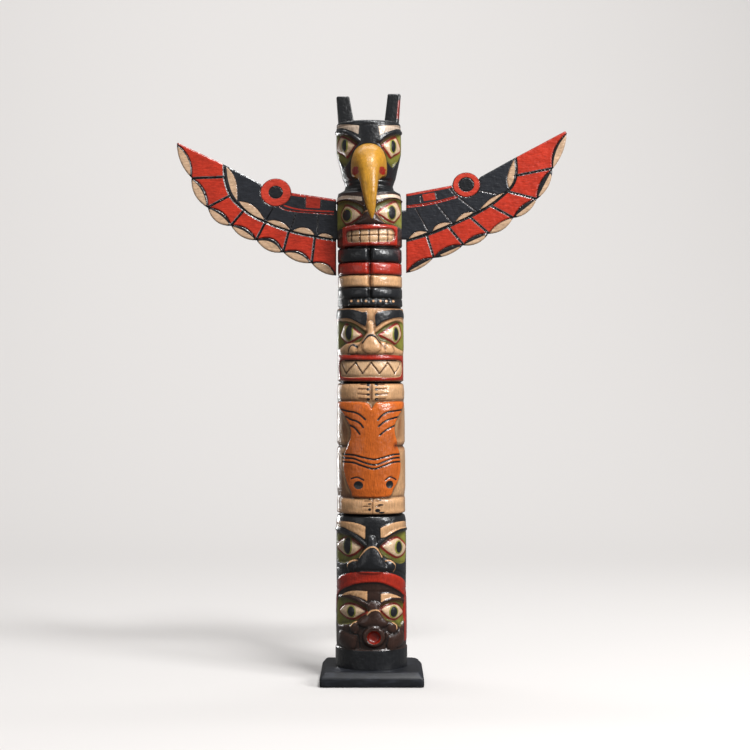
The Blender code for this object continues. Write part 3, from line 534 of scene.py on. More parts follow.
def carve_whale(figure):
    """Black face with a wide red lip that arches over the face below and runs down both sides."""
    figure.turned([(0, 0.975), (20, 0.985), (60, 0.995), (92, 0.99), (100, 0.95)])
    figure.patch([(-103, 90), (-77, 91), (-53, 90.5), (-31, 88.3), (-16, 85), (-16, 85), (-17, 68),
                  (-17, 68), (-30, 72), (-46, 76.3), (-67, 80.9), (-82, 82.9), (-103, 81.6)])
    figure.patch([(26, 83), (26, 83), (46, 87.4), (68, 90), (92, 90.4), (103, 87.5), (103, 81.5),
                  (82, 80.9), (61, 77.2), (39, 71.3), (27, 70), (27, 70)])
    figure.both(figure.line, [(18, 61), (38, 69), (58, 75.5), (78, 79), (102, 79)], 0.0040, -BROW_RISE)
    figure.socket([(23, 57), (23, 57), (33, 61), (46, 66), (60, 71), (81, 75), (100, 74.5), (101, 50),
                   (97, 36), (86, 33.5), (72, 36), (60, 39.8), (40, 44.3), (26, 51)])
    figure.socket([(-20, 58), (-20, 58), (-33, 63), (-50, 68.5), (-72, 72.5), (-100, 72.5), (-101, 50),
                   (-97, 37), (-79, 35), (-53, 40.6), (-36, 44.3), (-25, 52)])
    figure.eye([(29, 58.5), (29, 58.5), (45, 62.5), (60, 67), (79, 69), (92, 63), (99, 54), (91, 44.5),
                (77, 42.5), (57, 47.7), (39, 54)], (80, 56), (0.0026, 0.0054))
    figure.eye([(-24, 57.5), (-24, 57.5), (-42, 63), (-62, 68), (-82, 68), (-97, 57.5), (-88, 49),
                (-69, 45), (-50, 48), (-36, 53)], (-69, 58.5), (0.0033, 0.0077))
    figure.area([(-9, 72), (9, 72), (17, 58), (32, 43), (40, 25), (-44, 25), (-34, 43), (-15, 58)],
                NOSE_RISE, edge=0.0130, round_top=True)
    # Painted highlights along the lit rims of the nose and the nostrils.
    figure.lit_rim_highlight([(-33, 43.7), (-25, 49.1), (-13, 54.9), (-1, 58.3), (11, 57.6), (22, 52.3), (30, 44.4)],
                  0.0015)
    for middle in (-54, 54):
        figure.area([(middle - 14, 33), (middle - 8, 39), (middle + 8, 39), (middle + 14, 33),
                     (middle + 10, 25), (middle - 10, 25)], NOSTRIL_RISE, edge=0.0052, round_top=True)
    figure.lit_rim_highlight([(-66, 30.4), (-62, 35.2), (-52, 39.4), (-39, 39.7)], 0.0015)
    figure.lit_rim_highlight([(40, 39), (51, 39.4), (62, 35.2), (68, 30.3), (62, 24)], 0.0015)
    top = [(-101, -2), (-97, 9), (-84, 17), (-53, 23.4), (-25, 25), (3, 25), (38, 24), (66, 20), (88, 13),
           (97, 6), (101, -2)]
    bottom = [(97, -12), (90, -9), (80, -3.6), (59, 3.4), (31, 9.4), (3, 11), (-39, 8.5), (-68, 3),
              (-84, -2), (-93, -8), (-98, -12)]
    figure.area(top + bottom, LIP_RISE, edge=0.0018, paint="red")
    figure.area([(92, -8), (92, -8), (112, -4), (112, -4), (112, -72), (112, -72), (93, -72), (93, -72)],
                LIP_RISE / 3, edge=0.0018, paint="red")
    figure.area([(-95, -8), (-95, -8), (-112, -4), (-112, -4), (-112, -40), (-112, -40), (-101, -34),
                 (-101, -34)], LIP_RISE / 3, edge=0.0018, paint="red")
    figure.line([(-101, 28), (-70, 27.6), (0, 28), (70, 26), (101, 14)], 0.0016, 0.0006)


def carve_bear_body(figure):
    """Bear's arms and legs down the sides, round a fish that hangs head down between them."""
    figure.turned([(0, 0.955), (1.5, 0.975), (12, 0.975), (13.5, 0.955), (20, 0.985), (40, 0.99),
                   (48, 0.985), (56, 0.985), (68, 0.99), (80, 0.985), (85.5, 0.965), (88, 0.98),
                   (93, 0.985), (98, 0.965), (100, 0.945)])
    figure.band(0.4, 101, "cream")
    figure.both(figure.area, [(3, 99.2), (3, 99.2), (60, 99.5), (96, 98.4), (103, 93), (97, 87.4),
                              (60, 86.2), (3, 86.4), (3, 86.4)], BROW_RISE, edge=0.0062, round_top=True)
    for up, left, right in ((98.2, -30, 42), (94.9, -36, 46), (91.0, -36, 48), (87.5, -34, 42)):
        for stroke in ([(left, up + 0.4), (-9, up)], [(15, up), (right, up + 0.5)]):
            figure.scored(stroke, LINE_WIDTH, LINE_DEPTH)
        figure.spot((-7, up), (0.0019, 0.0014), "black")
        figure.spot((17, up), (0.0020, 0.0014), "black")
    figure.line([(4, 99.4), (3, 87)], LINE_WIDTH, LINE_DEPTH)
    tail = [(-98, 85), (-80, 85.5), (-59, 85.8), (-30, 85.6), (-8, 84.4), (3, 80.5), (3, 80.5), (14, 84.6),
            (21, 85.2), (50, 85.6), (79, 86), (99, 84.6)]
    right = [(88, 79.4), (76, 74), (67, 68), (67, 62), (73, 55), (78, 48), (81, 39), (79, 31), (73, 25),
             (62, 19.5), (47, 13.8)]
    left = [(-46, 13.8), (-55, 17.5), (-64, 23), (-71, 29), (-75, 36), (-74, 44), (-66, 52), (-57, 58),
            (-56, 65), (-66, 71.5), (-78, 77), (-90, 81)]
    outline = tail + right + left
    figure.area(outline, FISH_RISE, edge=0.0026, paint="orange")
    figure.area(outline, FISH_RISE * 0.5, edge=0.0200, round_top=True)
    left_fins = ([(-80, 79.7), (-61, 78.3), (-45, 77.7), (-29, 75.8), (-14, 72.2)], [(-67, 74.3),
                                                                                     (-52, 72.1),
                                                                                     (-38, 71),
                                                                                     (-27, 68.9),
                                                                                     (-20, 66.3)],
                 [(-59, 68.1), (-45, 66.3), (-38, 64.5), (-29, 61.2)])
    right_fins = ([(19, 71.8), (29, 75.1), (45, 77.7), (64, 78.6), (90, 79.6)], [(21, 67.1), (35, 70.4),
                                                                                 (52, 72.5), (75, 74.1)],
                  [(24, 60.5), (36, 63.4), (51, 65.9), (69, 68.1)])
    for fin in left_fins + right_fins:
        figure.line(fin, LINE_WIDTH, LINE_DEPTH, paint="black")
    for up, dip in ((45.7, 42.3), (43, 38.2), (40, 35.2)):
        figure.line([(-82, up), (-48, up - 0.2), (-24, (up + dip) / 2), (8, dip), (36, (up + dip) / 2),
                     (60, up), (83, up + 0.1)], LINE_WIDTH, LINE_DEPTH, paint="black")
    figure.spot((-33, 22.9), (0.0045, 0.0042), "black", rise=-0.0008)
    figure.spot((49, 23.3), (0.0036, 0.0040), "black", rise=-0.0008)
    figure.line([(-52, 27.5), (-36, 28.8), (-19, 26.8)], 0.0015, LINE_DEPTH * 0.7, paint="black")
    figure.line([(37, 26.6), (50, 28.9), (66, 26.8)], 0.0015, LINE_DEPTH * 0.7, paint="black")
    figure.both(figure.line, [(68, 52.2), (88, 51.6), (112, 51.8), (180, 51.8)], 0.0090, LINE_DEPTH * 1.5)
    figure.both(figure.line, [(68, 52.2), (88, 51.6), (112, 51.8)], 0.0030, LINE_DEPTH)
    # Painted shade: brown beside the fish on the left, where its shadow and the flank's shade fall.
    figure.toned_glaze_and_shade([(-97, 30), (-88, 40), (-80, 30), (-71, 20), (-56, 12.4), (-98, 12.4)], 0.0013)
    figure.toned_glaze_and_shade([(-90, 80), (-76, 72), (-64, 65), (-64, 57), (-74, 51), (-84, 60)], 0.0028)
    # Brown glaze streaks on the right leg.
    figure.toned_glaze_and_shade([(76, 75), (94, 79), (92, 58), (74, 54), (66, 62)], 0.0075)
    figure.area([(-88, 12.4), (-88, 12.4), (-40, 12.8), (40, 12.8), (96, 12.4), (98, 1), (30, 0.6),
                 (-30, 0.6), (-88, 1), (-88, 1)], BROW_RISE * 1.3, edge=0.0060, round_top=True)
    for up, left, right in ((10.8, -18, 20), (6.8, -22, 24), (3.7, -20, 26)):
        figure.line([(left, up), (-4, up)], 0.0014, LINE_DEPTH * 0.7)
        figure.line([(12, up), (right, up)], 0.0014, LINE_DEPTH * 0.7)
    toenails = {(-4, 12.2): (0.0014, 0.0008), (-4, 8.8): (0.0022, 0.0009), (-4, 4.6): (0.0016, 0.0015),
                (26, 11.6): (0.0014, 0.0008), (26, 8.0): (0.0034, 0.0009), (18, 3.8): (0.0026, 0.0018),
                (30, 2.2): (0.0030, 0.0010)}
    for place, half in toenails.items():
        figure.spot(place, half, "black")
    figure.line([(5, 13.4), (3, 1)], LINE_WIDTH, LINE_DEPTH)
    figure.split(0, paint="black")
    figure.split(100, paint="black")


def carve_bear_face(figure):
    """Bear's face, with a wide mouth of zigzag teeth."""
    figure.turned([(0, 0.95), (3, 0.965), (38, 0.97), (44, 0.985), (90, 0.99), (100, 0.975)])
    figure.band(-1, 99.6, "cream")
    figure.area([(16, 75.2), (15, 90), (34, 94.1), (56, 96.2), (78, 96.9), (95, 96.6), (104, 92),
                 (104, 86), (92, 86.8), (74, 86), (55, 83.7), (36, 80), (22, 75)], BROW_RISE, edge=0.0018,
                paint="black")
    figure.area([(-104, 95.5), (-79, 97.2), (-60, 97.1), (-41, 95.8), (-24, 93.4), (-9, 92), (-12, 75.5),
                 (-18, 75), (-30, 77.8), (-46, 81.8), (-67, 85.4), (-104, 85.7)], BROW_RISE, edge=0.0018,
                paint="black")
    figure.socket([(15, 65), (15, 65), (28, 69.8), (48, 76.1), (70, 80.7), (84, 81.6), (98, 79), (101, 69),
                   (101, 44), (85, 45), (67, 50.6), (50, 53), (33, 54.8), (26, 58)])
    figure.socket([(-100, 79), (-82, 81.5), (-60, 80), (-38, 75.5), (-10, 66.5), (-10, 66.5), (-30, 54.8),
                   (-43, 53), (-73, 51.5), (-100, 44)])
    figure.eye([(28, 62.9), (28, 62.9), (46, 67.5), (70, 75.1), (87, 78), (93, 69), (93, 61), (81, 52),
                (66, 55), (46, 59.5)], (78, 64.5), (0.0021, 0.0062))
    figure.eye([(-25, 62), (-25, 62), (-40, 67.5), (-55, 72.6), (-79, 77.5), (-88, 69), (-90, 61),
                (-73, 53), (-53, 55.6), (-38, 59.5)], (-65, 66.3), (0.0029, 0.0068))
    figure.area([(-8, 80), (8, 80), (14, 66), (28, 54), (44, 38), (-38, 38), (-24, 54), (-10, 66)],
                NOSE_RISE * 0.75, edge=0.0130, round_top=True)
    figure.area([(-22, 53), (-12, 60), (3, 63), (18, 60), (28, 53), (26, 43), (3, 38), (-20, 43)],
                NOSE_RISE * 0.4, edge=0.0070, round_top=True)
    # Painted highlight in pale along the nose's lit rim, over its black line.
    figure.lit_rim_highlight([(-22, 54.5), (-10, 62.2), (3, 64.6), (16, 62), (28, 54.5)], 0.0011, "pale")
    figure.line([(-22, 52.5), (-10, 60), (3, 62.4), (16, 60), (28, 52.5)], 0.0022, 0.0007, paint="black")
    for middle in (-51, 56):
        figure.area([(middle - 13, 41), (middle - 9, 49), (middle + 7, 50), (middle + 13, 42),
                     (middle + 8, 38), (middle - 8, 38)], NOSTRIL_RISE, edge=0.0052, round_top=True)
    # Painted highlight in pale along the left nostril's lit rim.
    figure.lit_rim_highlight([(-64, 46), (-57, 50.3), (-49, 51.5), (-38, 48.8)], 0.0010, "pale")
    figure.line([(-63, 42), (-57, 48.8), (-49, 50), (-39, 47.3)], 0.0022, 0.0006, paint="black")
    figure.line([(46, 52.2), (59, 50.2), (67, 44)], 0.0013, 0.0006, paint="black", spread=0.7)
    mouth = [(-88, 12), (-90, 24), (-80, 29.5), (0, 29.5), (82, 29.5), (93, 24), (92, 12), (82, 7),
             (0, 6.8), (-80, 7)]
    lip = [(-96, 34), (-90, 36.4), (2, 37), (92, 36), (98, 34), (98, 5), (93, 3), (2, 2), (-90, 3),
           (-96, 5)]
    figure.area(lip, LIP_RISE, edge=0.0036, round_top=True, paint="red")
    figure.mouth(mouth, wall=0.0016, bulge=0.0075)
    # Painted shadow: a thin black line along the top of the mouth, under the overhanging upper lip.
    figure.line([(-76, 28.9), (0, 29.2), (78, 28.9)], 0.0012, 0.0002, paint="black")
    teeth = [(-84, 24.4), (-72, 11.7), (-44, 26.4), (-24, 11.7), (2, 26.4), (27, 11.7), (52, 26.4),
             (72, 11.7), (89, 26)]
    for start, end in zip(teeth, teeth[1:]):
        figure.scored([start, end], 0.0020, LINE_DEPTH * 1.4)
    figure.split(100, paint="black")


def carve_warrior(figure):
    """Dark face with two rows of teeth, over a banded body whose claws hold the bear's head."""
    figure.turned([(0, 0.965), (7, 0.955), (50, 0.947), (54, 0.975), (72, 0.985), (95, 0.985), (99, 0.97),
                   (100, 0.945)])
    figure.band(53, 101, "brown")
    figure.both(figure.area, [(23, 94.3), (23, 97.5), (26, 98), (52, 99.2), (82, 99.9), (103, 98),
                              (103, 95.5), (88, 97), (66, 96.8), (44, 95.8)], paint="pale", drop=1.2)
    figure.both(figure.line, [(18, 90.2), (45, 94.2), (70, 96), (100, 94.6)], 0.0030, -BROW_RISE, drop=1.2)
    figure.both(figure.socket, [(18, 85), (24, 90), (52, 94), (78, 95.6), (94, 94.5), (101, 89),
                                (100, 71.5), (93, 71), (73, 73), (51, 74.3), (33, 79)], drop=1.6)
    figure.eye([(24, 82.6), (24, 82.6), (40, 86.2), (60, 90), (80, 93.2), (89, 92.4), (96, 84.1), (88, 78),
                (79, 75.3), (60, 77), (42, 80)], (71, 83.6), (0.0034, 0.0062))
    figure.eye([(-24, 80.8), (-24, 80.8), (-40, 85), (-60, 88.5), (-78, 89.6), (-90, 82), (-80, 74.5),
                (-66, 73.6), (-42, 77)], (-71, 81.3), (0.0041, 0.0054))
    figure.area([(-9, 92), (9, 92), (17, 83), (34, 77), (46, 73), (-42, 73), (-30, 77), (-13, 83)],
                NOSE_RISE * 0.8, edge=0.0110, round_top=True)
    # Painted highlights along the lit rims of the nose.
    figure.lit_rim_highlight([(-23, 81.6), (-14, 83.6), (-5, 84.4)], 0.0013)
    figure.lit_rim_highlight([(14, 84), (24, 81.5), (33, 78.2), (45, 74.4)], 0.0013)
    figure.area([(-81, 71.5), (-81, 71.5), (-60, 72.4), (3, 72.6), (55, 72.7), (84, 71.4), (84, 71.4),
                 (83, 54.4), (83, 54.4), (2, 53.8), (-81, 53), (-81, 53)], LIP_RISE, edge=0.0034,
                round_top=True, paint="red")
    mouth = [(-67, 60), (-67, 65.5), (-54, 67), (0, 68), (56, 69), (71, 67.6), (75, 63), (70, 59),
             (58, 57.6), (0, 56.8), (-58, 57)]
    figure.mouth(mouth, wall=0.0020, bulge=0.0060)
    for across in (-54, -29, -1, 27, 55):
        figure.scored([(across, 68), (across, 57)], LINE_WIDTH, LINE_DEPTH * 1.3)
    figure.scored([(-66, 62.6), (0, 63.2), (74, 63.6)], LINE_WIDTH, LINE_DEPTH * 1.3)
    figure.split(53)
    figure.line([(0, 52), (0, 8)], 0.0080, SPLIT_DEPTH)
    for low, high, paint in ((39.7, 52.5, "black"), (28.4, 39.7, "red"), (17.4, 28.4, "cream"),
                             (7.8, 17.4, "black")):
        rise, edge = (BROW_RISE * 1.8, 0.0068) if high > 50 else (BROW_RISE, 0.0044)
        figure.both(figure.area, [(4, low + 1), (4, low + 1), (4, high - 1), (4, high - 1),
                                  (60, high - 0.6), (104, high - 1), (104, high - 1), (104, low + 1),
                                  (104, low + 1), (60, low + 0.6)], rise, edge, round_top=True)
        figure.split(low, LINE_WIDTH, LINE_DEPTH)
        figure.band(low + 0.3, high - 0.3, paint)
    figure.band(0.2, 7.8, "black")
    for across in (-55, -35, -12, 10, 31, 48, 69):
        figure.area([(across - 9, 1.2), (across - 9, 6.6), (across + 9, 6.6), (across + 9, 1.2)],
                    BROW_RISE, edge=0.0020, round_top=True)
        figure.spot((across, 5.2), (0.0013, 0.0012), "cream_dot")


def carve_eagle(figure):
    """Eagle's head, narrowing to a neck that stands on the shoulders of the figure below."""
    rim = 100 * (1 + HEAD_RIM / EAGLE_HEIGHT)
    figure.turned([(0, 0.955), (2.5, 0.95), (4.5, 0.86), (7.5, 0.755), (13, 0.72), (18.6, 0.765),
                   (24, 0.81), (35, 0.865), (46, 0.925), (52, 0.955), (58, 0.985), (70, 0.995),
                   (93, 0.995), (99, 0.985), (rim, 0.95)])
    figure.line([(-104, 20), (0, 20), (104, 20)], 0.0030, LINE_DEPTH)
    figure.area([(30, 93), (30, 93), (60, 95), (92, 97.2), (106, 96), (106, 93), (88, 91.8), (70, 88.3),
                 (52, 84.9), (34, 80), (34, 80)], paint="pale")
    figure.area([(-28, 93.6), (-28, 93.6), (-60, 96), (-91, 98), (-106, 97.5), (-106, 94.5), (-84, 92.7),
                 (-65, 89.5), (-48, 86), (-31, 81.6), (-31, 81.6)], paint="pale")
    figure.both(figure.line, [(30, 73), (52, 81), (76, 86.6), (104, 88.5)], 0.0042, -BROW_RISE)
    figure.socket([(36, 68.5), (36, 68.5), (47, 73), (59, 77.1), (76, 81.1), (101, 84.4), (104, 62),
                   (90, 42), (84, 37.8), (84, 37.8), (72, 41.5), (62, 46), (55, 54.4), (46, 62)])
    figure.socket([(-33, 68.9), (-33, 68.9), (-51, 75.6), (-69, 81.7), (-84, 83.6), (-104, 84.9),
                   (-104, 60.7), (-92, 44), (-85, 39), (-85, 39), (-74, 43), (-61, 48.9), (-54, 57),
                   (-44, 64)])
    figure.eye([(43, 66.8), (43, 66.8), (66, 74.5), (88, 80.5), (88, 80.5), (94, 72), (97, 62.3),
                (84, 54.5), (75, 51.5), (60, 58)], (77, 66.6), (0.0021, 0.0056), bulge=0.0070)
    figure.eye([(-41, 67.3), (-41, 67.3), (-66, 75.5), (-89, 81.4), (-89, 81.4), (-95, 73), (-97, 63.6),
                (-84, 55.5), (-74, 51.8), (-58, 58.5)], (-76, 67.8), (0.0021, 0.0056), bulge=0.0070)
    figure.line([(-110, 95.6), (0, 95.6), (110, 95.6)], 0.0016, LINE_DEPTH / 2)


def carve_figures(turn, level):
    """The relief, the paint and the share of brown glaze and painted shade at places on the log."""
    relief = np.zeros(turn.shape)
    paint = {name: np.full(turn.shape, FAR_FROM_PAINT) for name in PAINTS}
    glaze_and_shade = np.zeros(turn.shape)
    for carve, foot, height in ((carve_owl, COLLAR_TOP, OWL_HEIGHT), (carve_whale, OWL_TOP, WHALE_HEIGHT),
                                (carve_bear_body, WHALE_TOP, BEAR_BODY_HEIGHT),
                                (carve_bear_face, BODY_TOP, BEAR_FACE_HEIGHT),
                                (carve_warrior, BEAR_TOP, WARRIOR_HEIGHT),
                                (carve_eagle, WARRIOR_TOP, EAGLE_HEIGHT)):
        figure = Figure(turn, level, relief, paint, foot, height)
        carve(figure)
        glaze_and_shade = np.maximum(glaze_and_shade, figure.glaze_and_shade)
    return relief, paint, glaze_and_shade


def log_turns():
    """Close columns over the carved front and wider ones round the plain back."""
    front = np.linspace(-FRONT_TURN, FRONT_TURN, FRONT_COLUMNS + 1)
    share = np.linspace(0, 1, BACK_COLUMNS + 1)
    eased = share - BACK_EASING * np.sin(2 * math.pi * share)
    back = FRONT_TURN + (2 * math.pi - 2 * FRONT_TURN) * eased
    return np.concatenate([front, back[1:]])


def mesh_places(obj):
    flat = np.empty(len(obj.data.vertices) * 3)
    obj.data.vertices.foreach_get("co", flat)
    return flat.reshape(-1, 3)


select_none()
turns = log_turns()
bpy.ops.mesh.primitive_grid_add(x_subdivisions=len(turns) - 1, y_subdivisions=ROWS + TOP_ROWS, size=1)
log = bpy.context.object
log.name = "log"
flat = mesh_places(log)
column = np.rint((flat[:, 0] + 0.5) * (len(turns) - 1)).astype(int)
row = np.rint((flat[:, 1] + 0.5) * (ROWS + TOP_ROWS)).astype(int)
levels = np.concatenate([np.linspace(LOG_FOOT, HEAD_TOP, ROWS + 1), np.full(TOP_ROWS, HEAD_TOP)])
crown = np.concatenate([np.ones(ROWS + 1), np.linspace(1, 0, TOP_ROWS + 1)[1:]])
turn = turns[column]
turn = np.where(turn > math.pi, turn - 2 * math.pi, turn)
level = levels[row]
relief, paint, glaze_and_shade = carve_figures(turn, level)
radius = (log_radius(level) + relief) * crown[row]
places = np.stack([log_centre(level) + radius * np.sin(turn), -radius * np.cos(turn), level], axis=1)
log.data.vertices.foreach_set("co", places.ravel())
make_active(log)
bpy.ops.object.mode_set(mode="EDIT")
bpy.ops.mesh.select_all(action="SELECT")
bpy.ops.mesh.remove_doubles(threshold=LOG_MERGE)
bpy.ops.mesh.select_all(action="DESELECT")
bpy.ops.mesh.select_non_manifold()
bpy.ops.mesh.edge_face_add()
bpy.ops.mesh.select_all(action="SELECT")
bpy.ops.mesh.normals_make_consistent(inside=False)
bpy.ops.object.mode_set(mode="OBJECT")

EAR_HEIGHT = 0.0308
EAR_DROP_LEFT = 0.0026
EAR_FOOT_INNER = 0.0165
EAR_FOOT_INNER_LEFT = 0.0150
EAR_TOP_INNER = 0.0202
EAR_DEPTH = 0.0210
EAR_LEAN_OUT = 0.0020
EAR_ROUND = 0.0012
EAR_OUTER_SHARE = 0.938
EAR_TAPER = 0.25
EAR_ARC_STEPS = 8
EAR_ROUND_SEGMENTS = 3
EAR_ROUND_FROM_DEGREES = 50
EAR_RED_WIDTH = 0.0013
EAR_RED_SHARE = 0.8
EAR_PAINT_FROM = 0.0006
CROWN_MARGIN = 0.0003


def ear_outer(level):
    """How far out an ear's outer face stands from the log's middle."""
    return EAR_OUTER_SHARE * LOG_HEAD_RADIUS + EAR_LEAN_OUT * np.maximum(level - HEAD_TOP, 0) / EAR_HEIGHT


def loft(name, rings):
    """A closed mesh object through rings of equally many points, with flat ends."""
    size = len(rings[0])
    corners = [corner for ring in rings for corner in ring]
    faces = [tuple(range(size)), tuple(range((len(rings) - 1) * size, len(rings) * size))]
    for base in range(0, (len(rings) - 1) * size, size):
        for index in range(size):
            after = (index + 1) % size
            faces.append((base + index, base + after, base + size + after, base + size + index))
    mesh = bpy.data.meshes.new(name)
    mesh.from_pydata(corners, [], faces)
    obj = bpy.data.objects.new(name, mesh)
    bpy.context.scene.collection.objects.link(obj)
    make_active(obj)
    bpy.ops.object.mode_set(mode="EDIT")
    bpy.ops.mesh.select_all(action="SELECT")
    bpy.ops.mesh.normals_make_consistent(inside=False)
    bpy.ops.object.mode_set(mode="OBJECT")
    return obj


def boolean(obj, other, operation):
    modifier = obj.modifiers.new(other.name, "BOOLEAN")
    modifier.operation = operation
    modifier.solver = "EXACT"
    modifier.object = other
    apply_modifiers(obj)
    bpy.data.objects.remove(other, do_unlink=True)


for side, height in ((1, EAR_HEIGHT), (-1, EAR_HEIGHT - EAR_DROP_LEFT)):
    rings = []
    for share in (-0.12, 0.0, 0.15, 0.3, 0.45, 0.6, 0.75, 0.9, 1.0):
        up = max(share, 0)
        foot = EAR_FOOT_INNER if side > 0 else EAR_FOOT_INNER_LEFT
        inner = foot + (EAR_TOP_INNER - foot) * up
        outer = float(ear_outer(HEAD_TOP + EAR_HEIGHT * up))
        half = EAR_DEPTH / 2 * (1 - EAR_TAPER * up)
        ring = [(inner, -half)]
        for step in range(EAR_ARC_STEPS + 1):
            y = -half + 2 * half * step / EAR_ARC_STEPS
            ring.append((math.sqrt(outer * outer - y * y), y))
        ring.append((inner, half))
        rings.append([(log_centre(HEAD_TOP) + side * x, y, HEAD_TOP + height * share) for x, y in ring])
    ear = loft("ear", rings)
    easing = ear.modifiers.new("easing", "BEVEL")
    easing.width = EAR_ROUND
    easing.segments = EAR_ROUND_SEGMENTS
    easing.limit_method = "ANGLE"
    easing.angle_limit = math.radians(EAR_ROUND_FROM_DEGREES)
    apply_modifiers(ear)
    boolean(log, ear, "UNION")

# The beak's seat and the wings' mortises are cut before the log is painted, so the sizes that
# they take from the beak and the wings stand here.

BEAK_HALF_WIDTH = 0.0187
BEAK_ROOT_TOP = 0.0255
BEAK_ROOT_BOTTOM = 0.0108
BEAK_REACH = 0.0308
BEAK_DROP = 0.0545
BEAK_SWAY = 0.0034
BEAK_SEAT_DEPTH = 0.0070
BEAK_SEAT_IN = 0.0024
BEAK_UP_SHARE = 0.346
BEAK_LEVEL = WARRIOR_TOP + BEAK_UP_SHARE * EAGLE_HEIGHT
BEAK_STEPS = 72
BEAK_SECTION_POWER = 0.85
BEAK_FLOOR_POWER = 0.45
SEAT_CLEARANCE = 0.0004
SEAT_BACK_GAP = 0.0003


def beak_ring(forward, down, tilt, share, grow=0.0):
    """One section of the beak; tilt turns it from facing forward to facing down."""
    sway = BEAK_SWAY * (down / BEAK_DROP) ** 2
    ring = []
    for step in range(BEAK_STEPS):
        angle = 2 * math.pi * (step + 0.5) / BEAK_STEPS
        power = BEAK_SECTION_POWER if math.cos(angle) > 0 else BEAK_FLOOR_POWER
        wide = math.copysign(abs(math.sin(angle)) ** power, math.sin(angle))
        tall = math.copysign(abs(math.cos(angle)) ** power, math.cos(angle))
        x = wide * (BEAK_HALF_WIDTH * share[0] + grow)
        if tall > 0:
            rise = tall * (BEAK_ROOT_TOP * share[1] + grow)
        else:
            rise = tall * (BEAK_ROOT_BOTTOM * share[2] + grow)
        ring.append((log_centre(BEAK_LEVEL) + sway + x, -forward - rise * math.sin(tilt),
                     BEAK_LEVEL - down + rise * math.cos(tilt)))
    return ring


beak_face = log_radius(BEAK_LEVEL) - BEAK_SEAT_IN
beak_root = beak_face - BEAK_SEAT_DEPTH
seat = loft("seat", [beak_ring(beak_root - SEAT_BACK_GAP, 0.0, 0.0, (1, 1, 1), SEAT_CLEARANCE),
                     beak_ring(beak_face + BEAK_REACH, 0.0, 0.0, (1, 1, 1), SEAT_CLEARANCE)])
boolean(log, seat, "DIFFERENCE")

WING_LENGTH = 0.1679
WING_THICKNESS = 0.008
WING_LEVEL = WARRIOR_TOP - 0.0302
WING_TAB_HEIGHT = 0.0303
WING_TAB_DEPTH = 0.0100
WING_STANDOFF = {1: 0.0038, -1: 0.0003}
MORTISE_CLEARANCE = 0.0004


def wing_place(side):
    """Where a wing's root middle stands; the left one grows the other way."""
    reach = log_radius(WING_LEVEL) + WING_STANDOFF[side]
    flip = Matrix.Diagonal((side, 1, 1, 1))
    return Matrix.Translation((log_centre(WING_LEVEL) + side * reach, 0, WING_LEVEL)) @ flip


for side in (1, -1):
    tab = WING_TAB_HEIGHT / 2 + MORTISE_CLEARANCE
    half = WING_THICKNESS / 2 + MORTISE_CLEARANCE
    rings = [[(x, -half, -tab), (x, half, -tab), (x, half, tab), (x, -half, tab)]
             for x in (-WING_STANDOFF[side] - WING_TAB_DEPTH - MORTISE_CLEARANCE, WING_TAB_DEPTH)]
    rings = [[tuple(wing_place(side) @ Vector(corner)) for corner in ring] for ring in rings]
    boolean(log, loft("mortise", rings), "DIFFERENCE")


def blurred(values, reach):
    """Mean over a square window of the grid, by running sums."""
    for axis in (0, 1):
        padded = np.concatenate([np.repeat(np.take(values, [0], axis), reach, axis), values,
                                 np.repeat(np.take(values, [-1], axis), reach, axis)], axis)
        sums = np.cumsum(padded, axis)
        size = 2 * reach + 1
        lead = np.take(sums, range(size - 1, padded.shape[axis]), axis)
        trail = np.take(sums, range(0, padded.shape[axis] - size + 1), axis)
        first = np.take(padded, range(0, padded.shape[axis] - size + 1), axis)
        values = (lead - trail + first) / size
    return values


def store(mesh, name, values):
    attribute = mesh.attributes.new(name, "FLOAT", "POINT")
    attribute.data.foreach_set("value", values.astype(np.float32))


HOLLOW_WINDOW = 3

grid_relief = np.zeros((ROWS + TOP_ROWS + 1, len(turns)))
grid_relief[row, column] = relief
hollow = grid_relief - blurred(blurred(grid_relief, HOLLOW_WINDOW), HOLLOW_WINDOW)
places = mesh_places(log)
level = places[:, 2]
turn = np.arctan2(places[:, 0] - log_centre(level), -places[:, 1])
relief, paint, glaze_and_shade = carve_figures(turn, level)
row_at = np.clip(np.rint((level - LOG_FOOT) / (HEAD_TOP - LOG_FOOT) * ROWS), 0, ROWS).astype(int)
whole_turn = np.where(turn < -FRONT_TURN, turn + 2 * math.pi, turn)
column_at = np.clip(np.searchsorted(turns, whole_turn), 0, len(turns) - 1)
hollow_at = hollow[row_at, column_at]
out = np.hypot(places[:, 0] - log_centre(HEAD_TOP), places[:, 1])
on_ear = level > HEAD_TOP + EAR_PAINT_FROM
for name in paint:
    paint[name] = np.where(level > HEAD_TOP - CROWN_MARGIN, FAR_FROM_PAINT, paint[name])
ear_red = MILLIMETRES * np.minimum(out - ear_outer(level) + EAR_RED_WIDTH,
                                   HEAD_TOP + EAR_RED_SHARE * EAR_HEIGHT - level)
paint["red"] = np.where(on_ear & (places[:, 0] > 0), ear_red, paint["red"])
for name, values in paint.items():
    store(log.data, name, values)
# The finish darkens the hollows brown, as glaze and as painted shade.
store(log.data, "hollow", np.clip(hollow_at * MILLIMETRES, -2, 2))
store(log.data, "glaze_and_shade", np.where(level > HEAD_TOP - CROWN_MARGIN, 0, glaze_and_shade))

CEDAR_PAINT = {"black": "#1b1d21", "brown": "#3a241c", "cream": "#e0ae7e", "orange": "#d6691e",
               "green": "#95943d", "red": "#b52a14", "white": "#e4c4a1", "pale": "#ead2bb",
               "teeth": "#eabf92", "brown_glaze_and_shade": "#6d4226"}
EYELID_RED = "#c8402a"
# The brown that glaze and painted shade multiply the paint by.
SHADE_AND_GLAZE_TINT = (0.36, 0.22, 0.14)

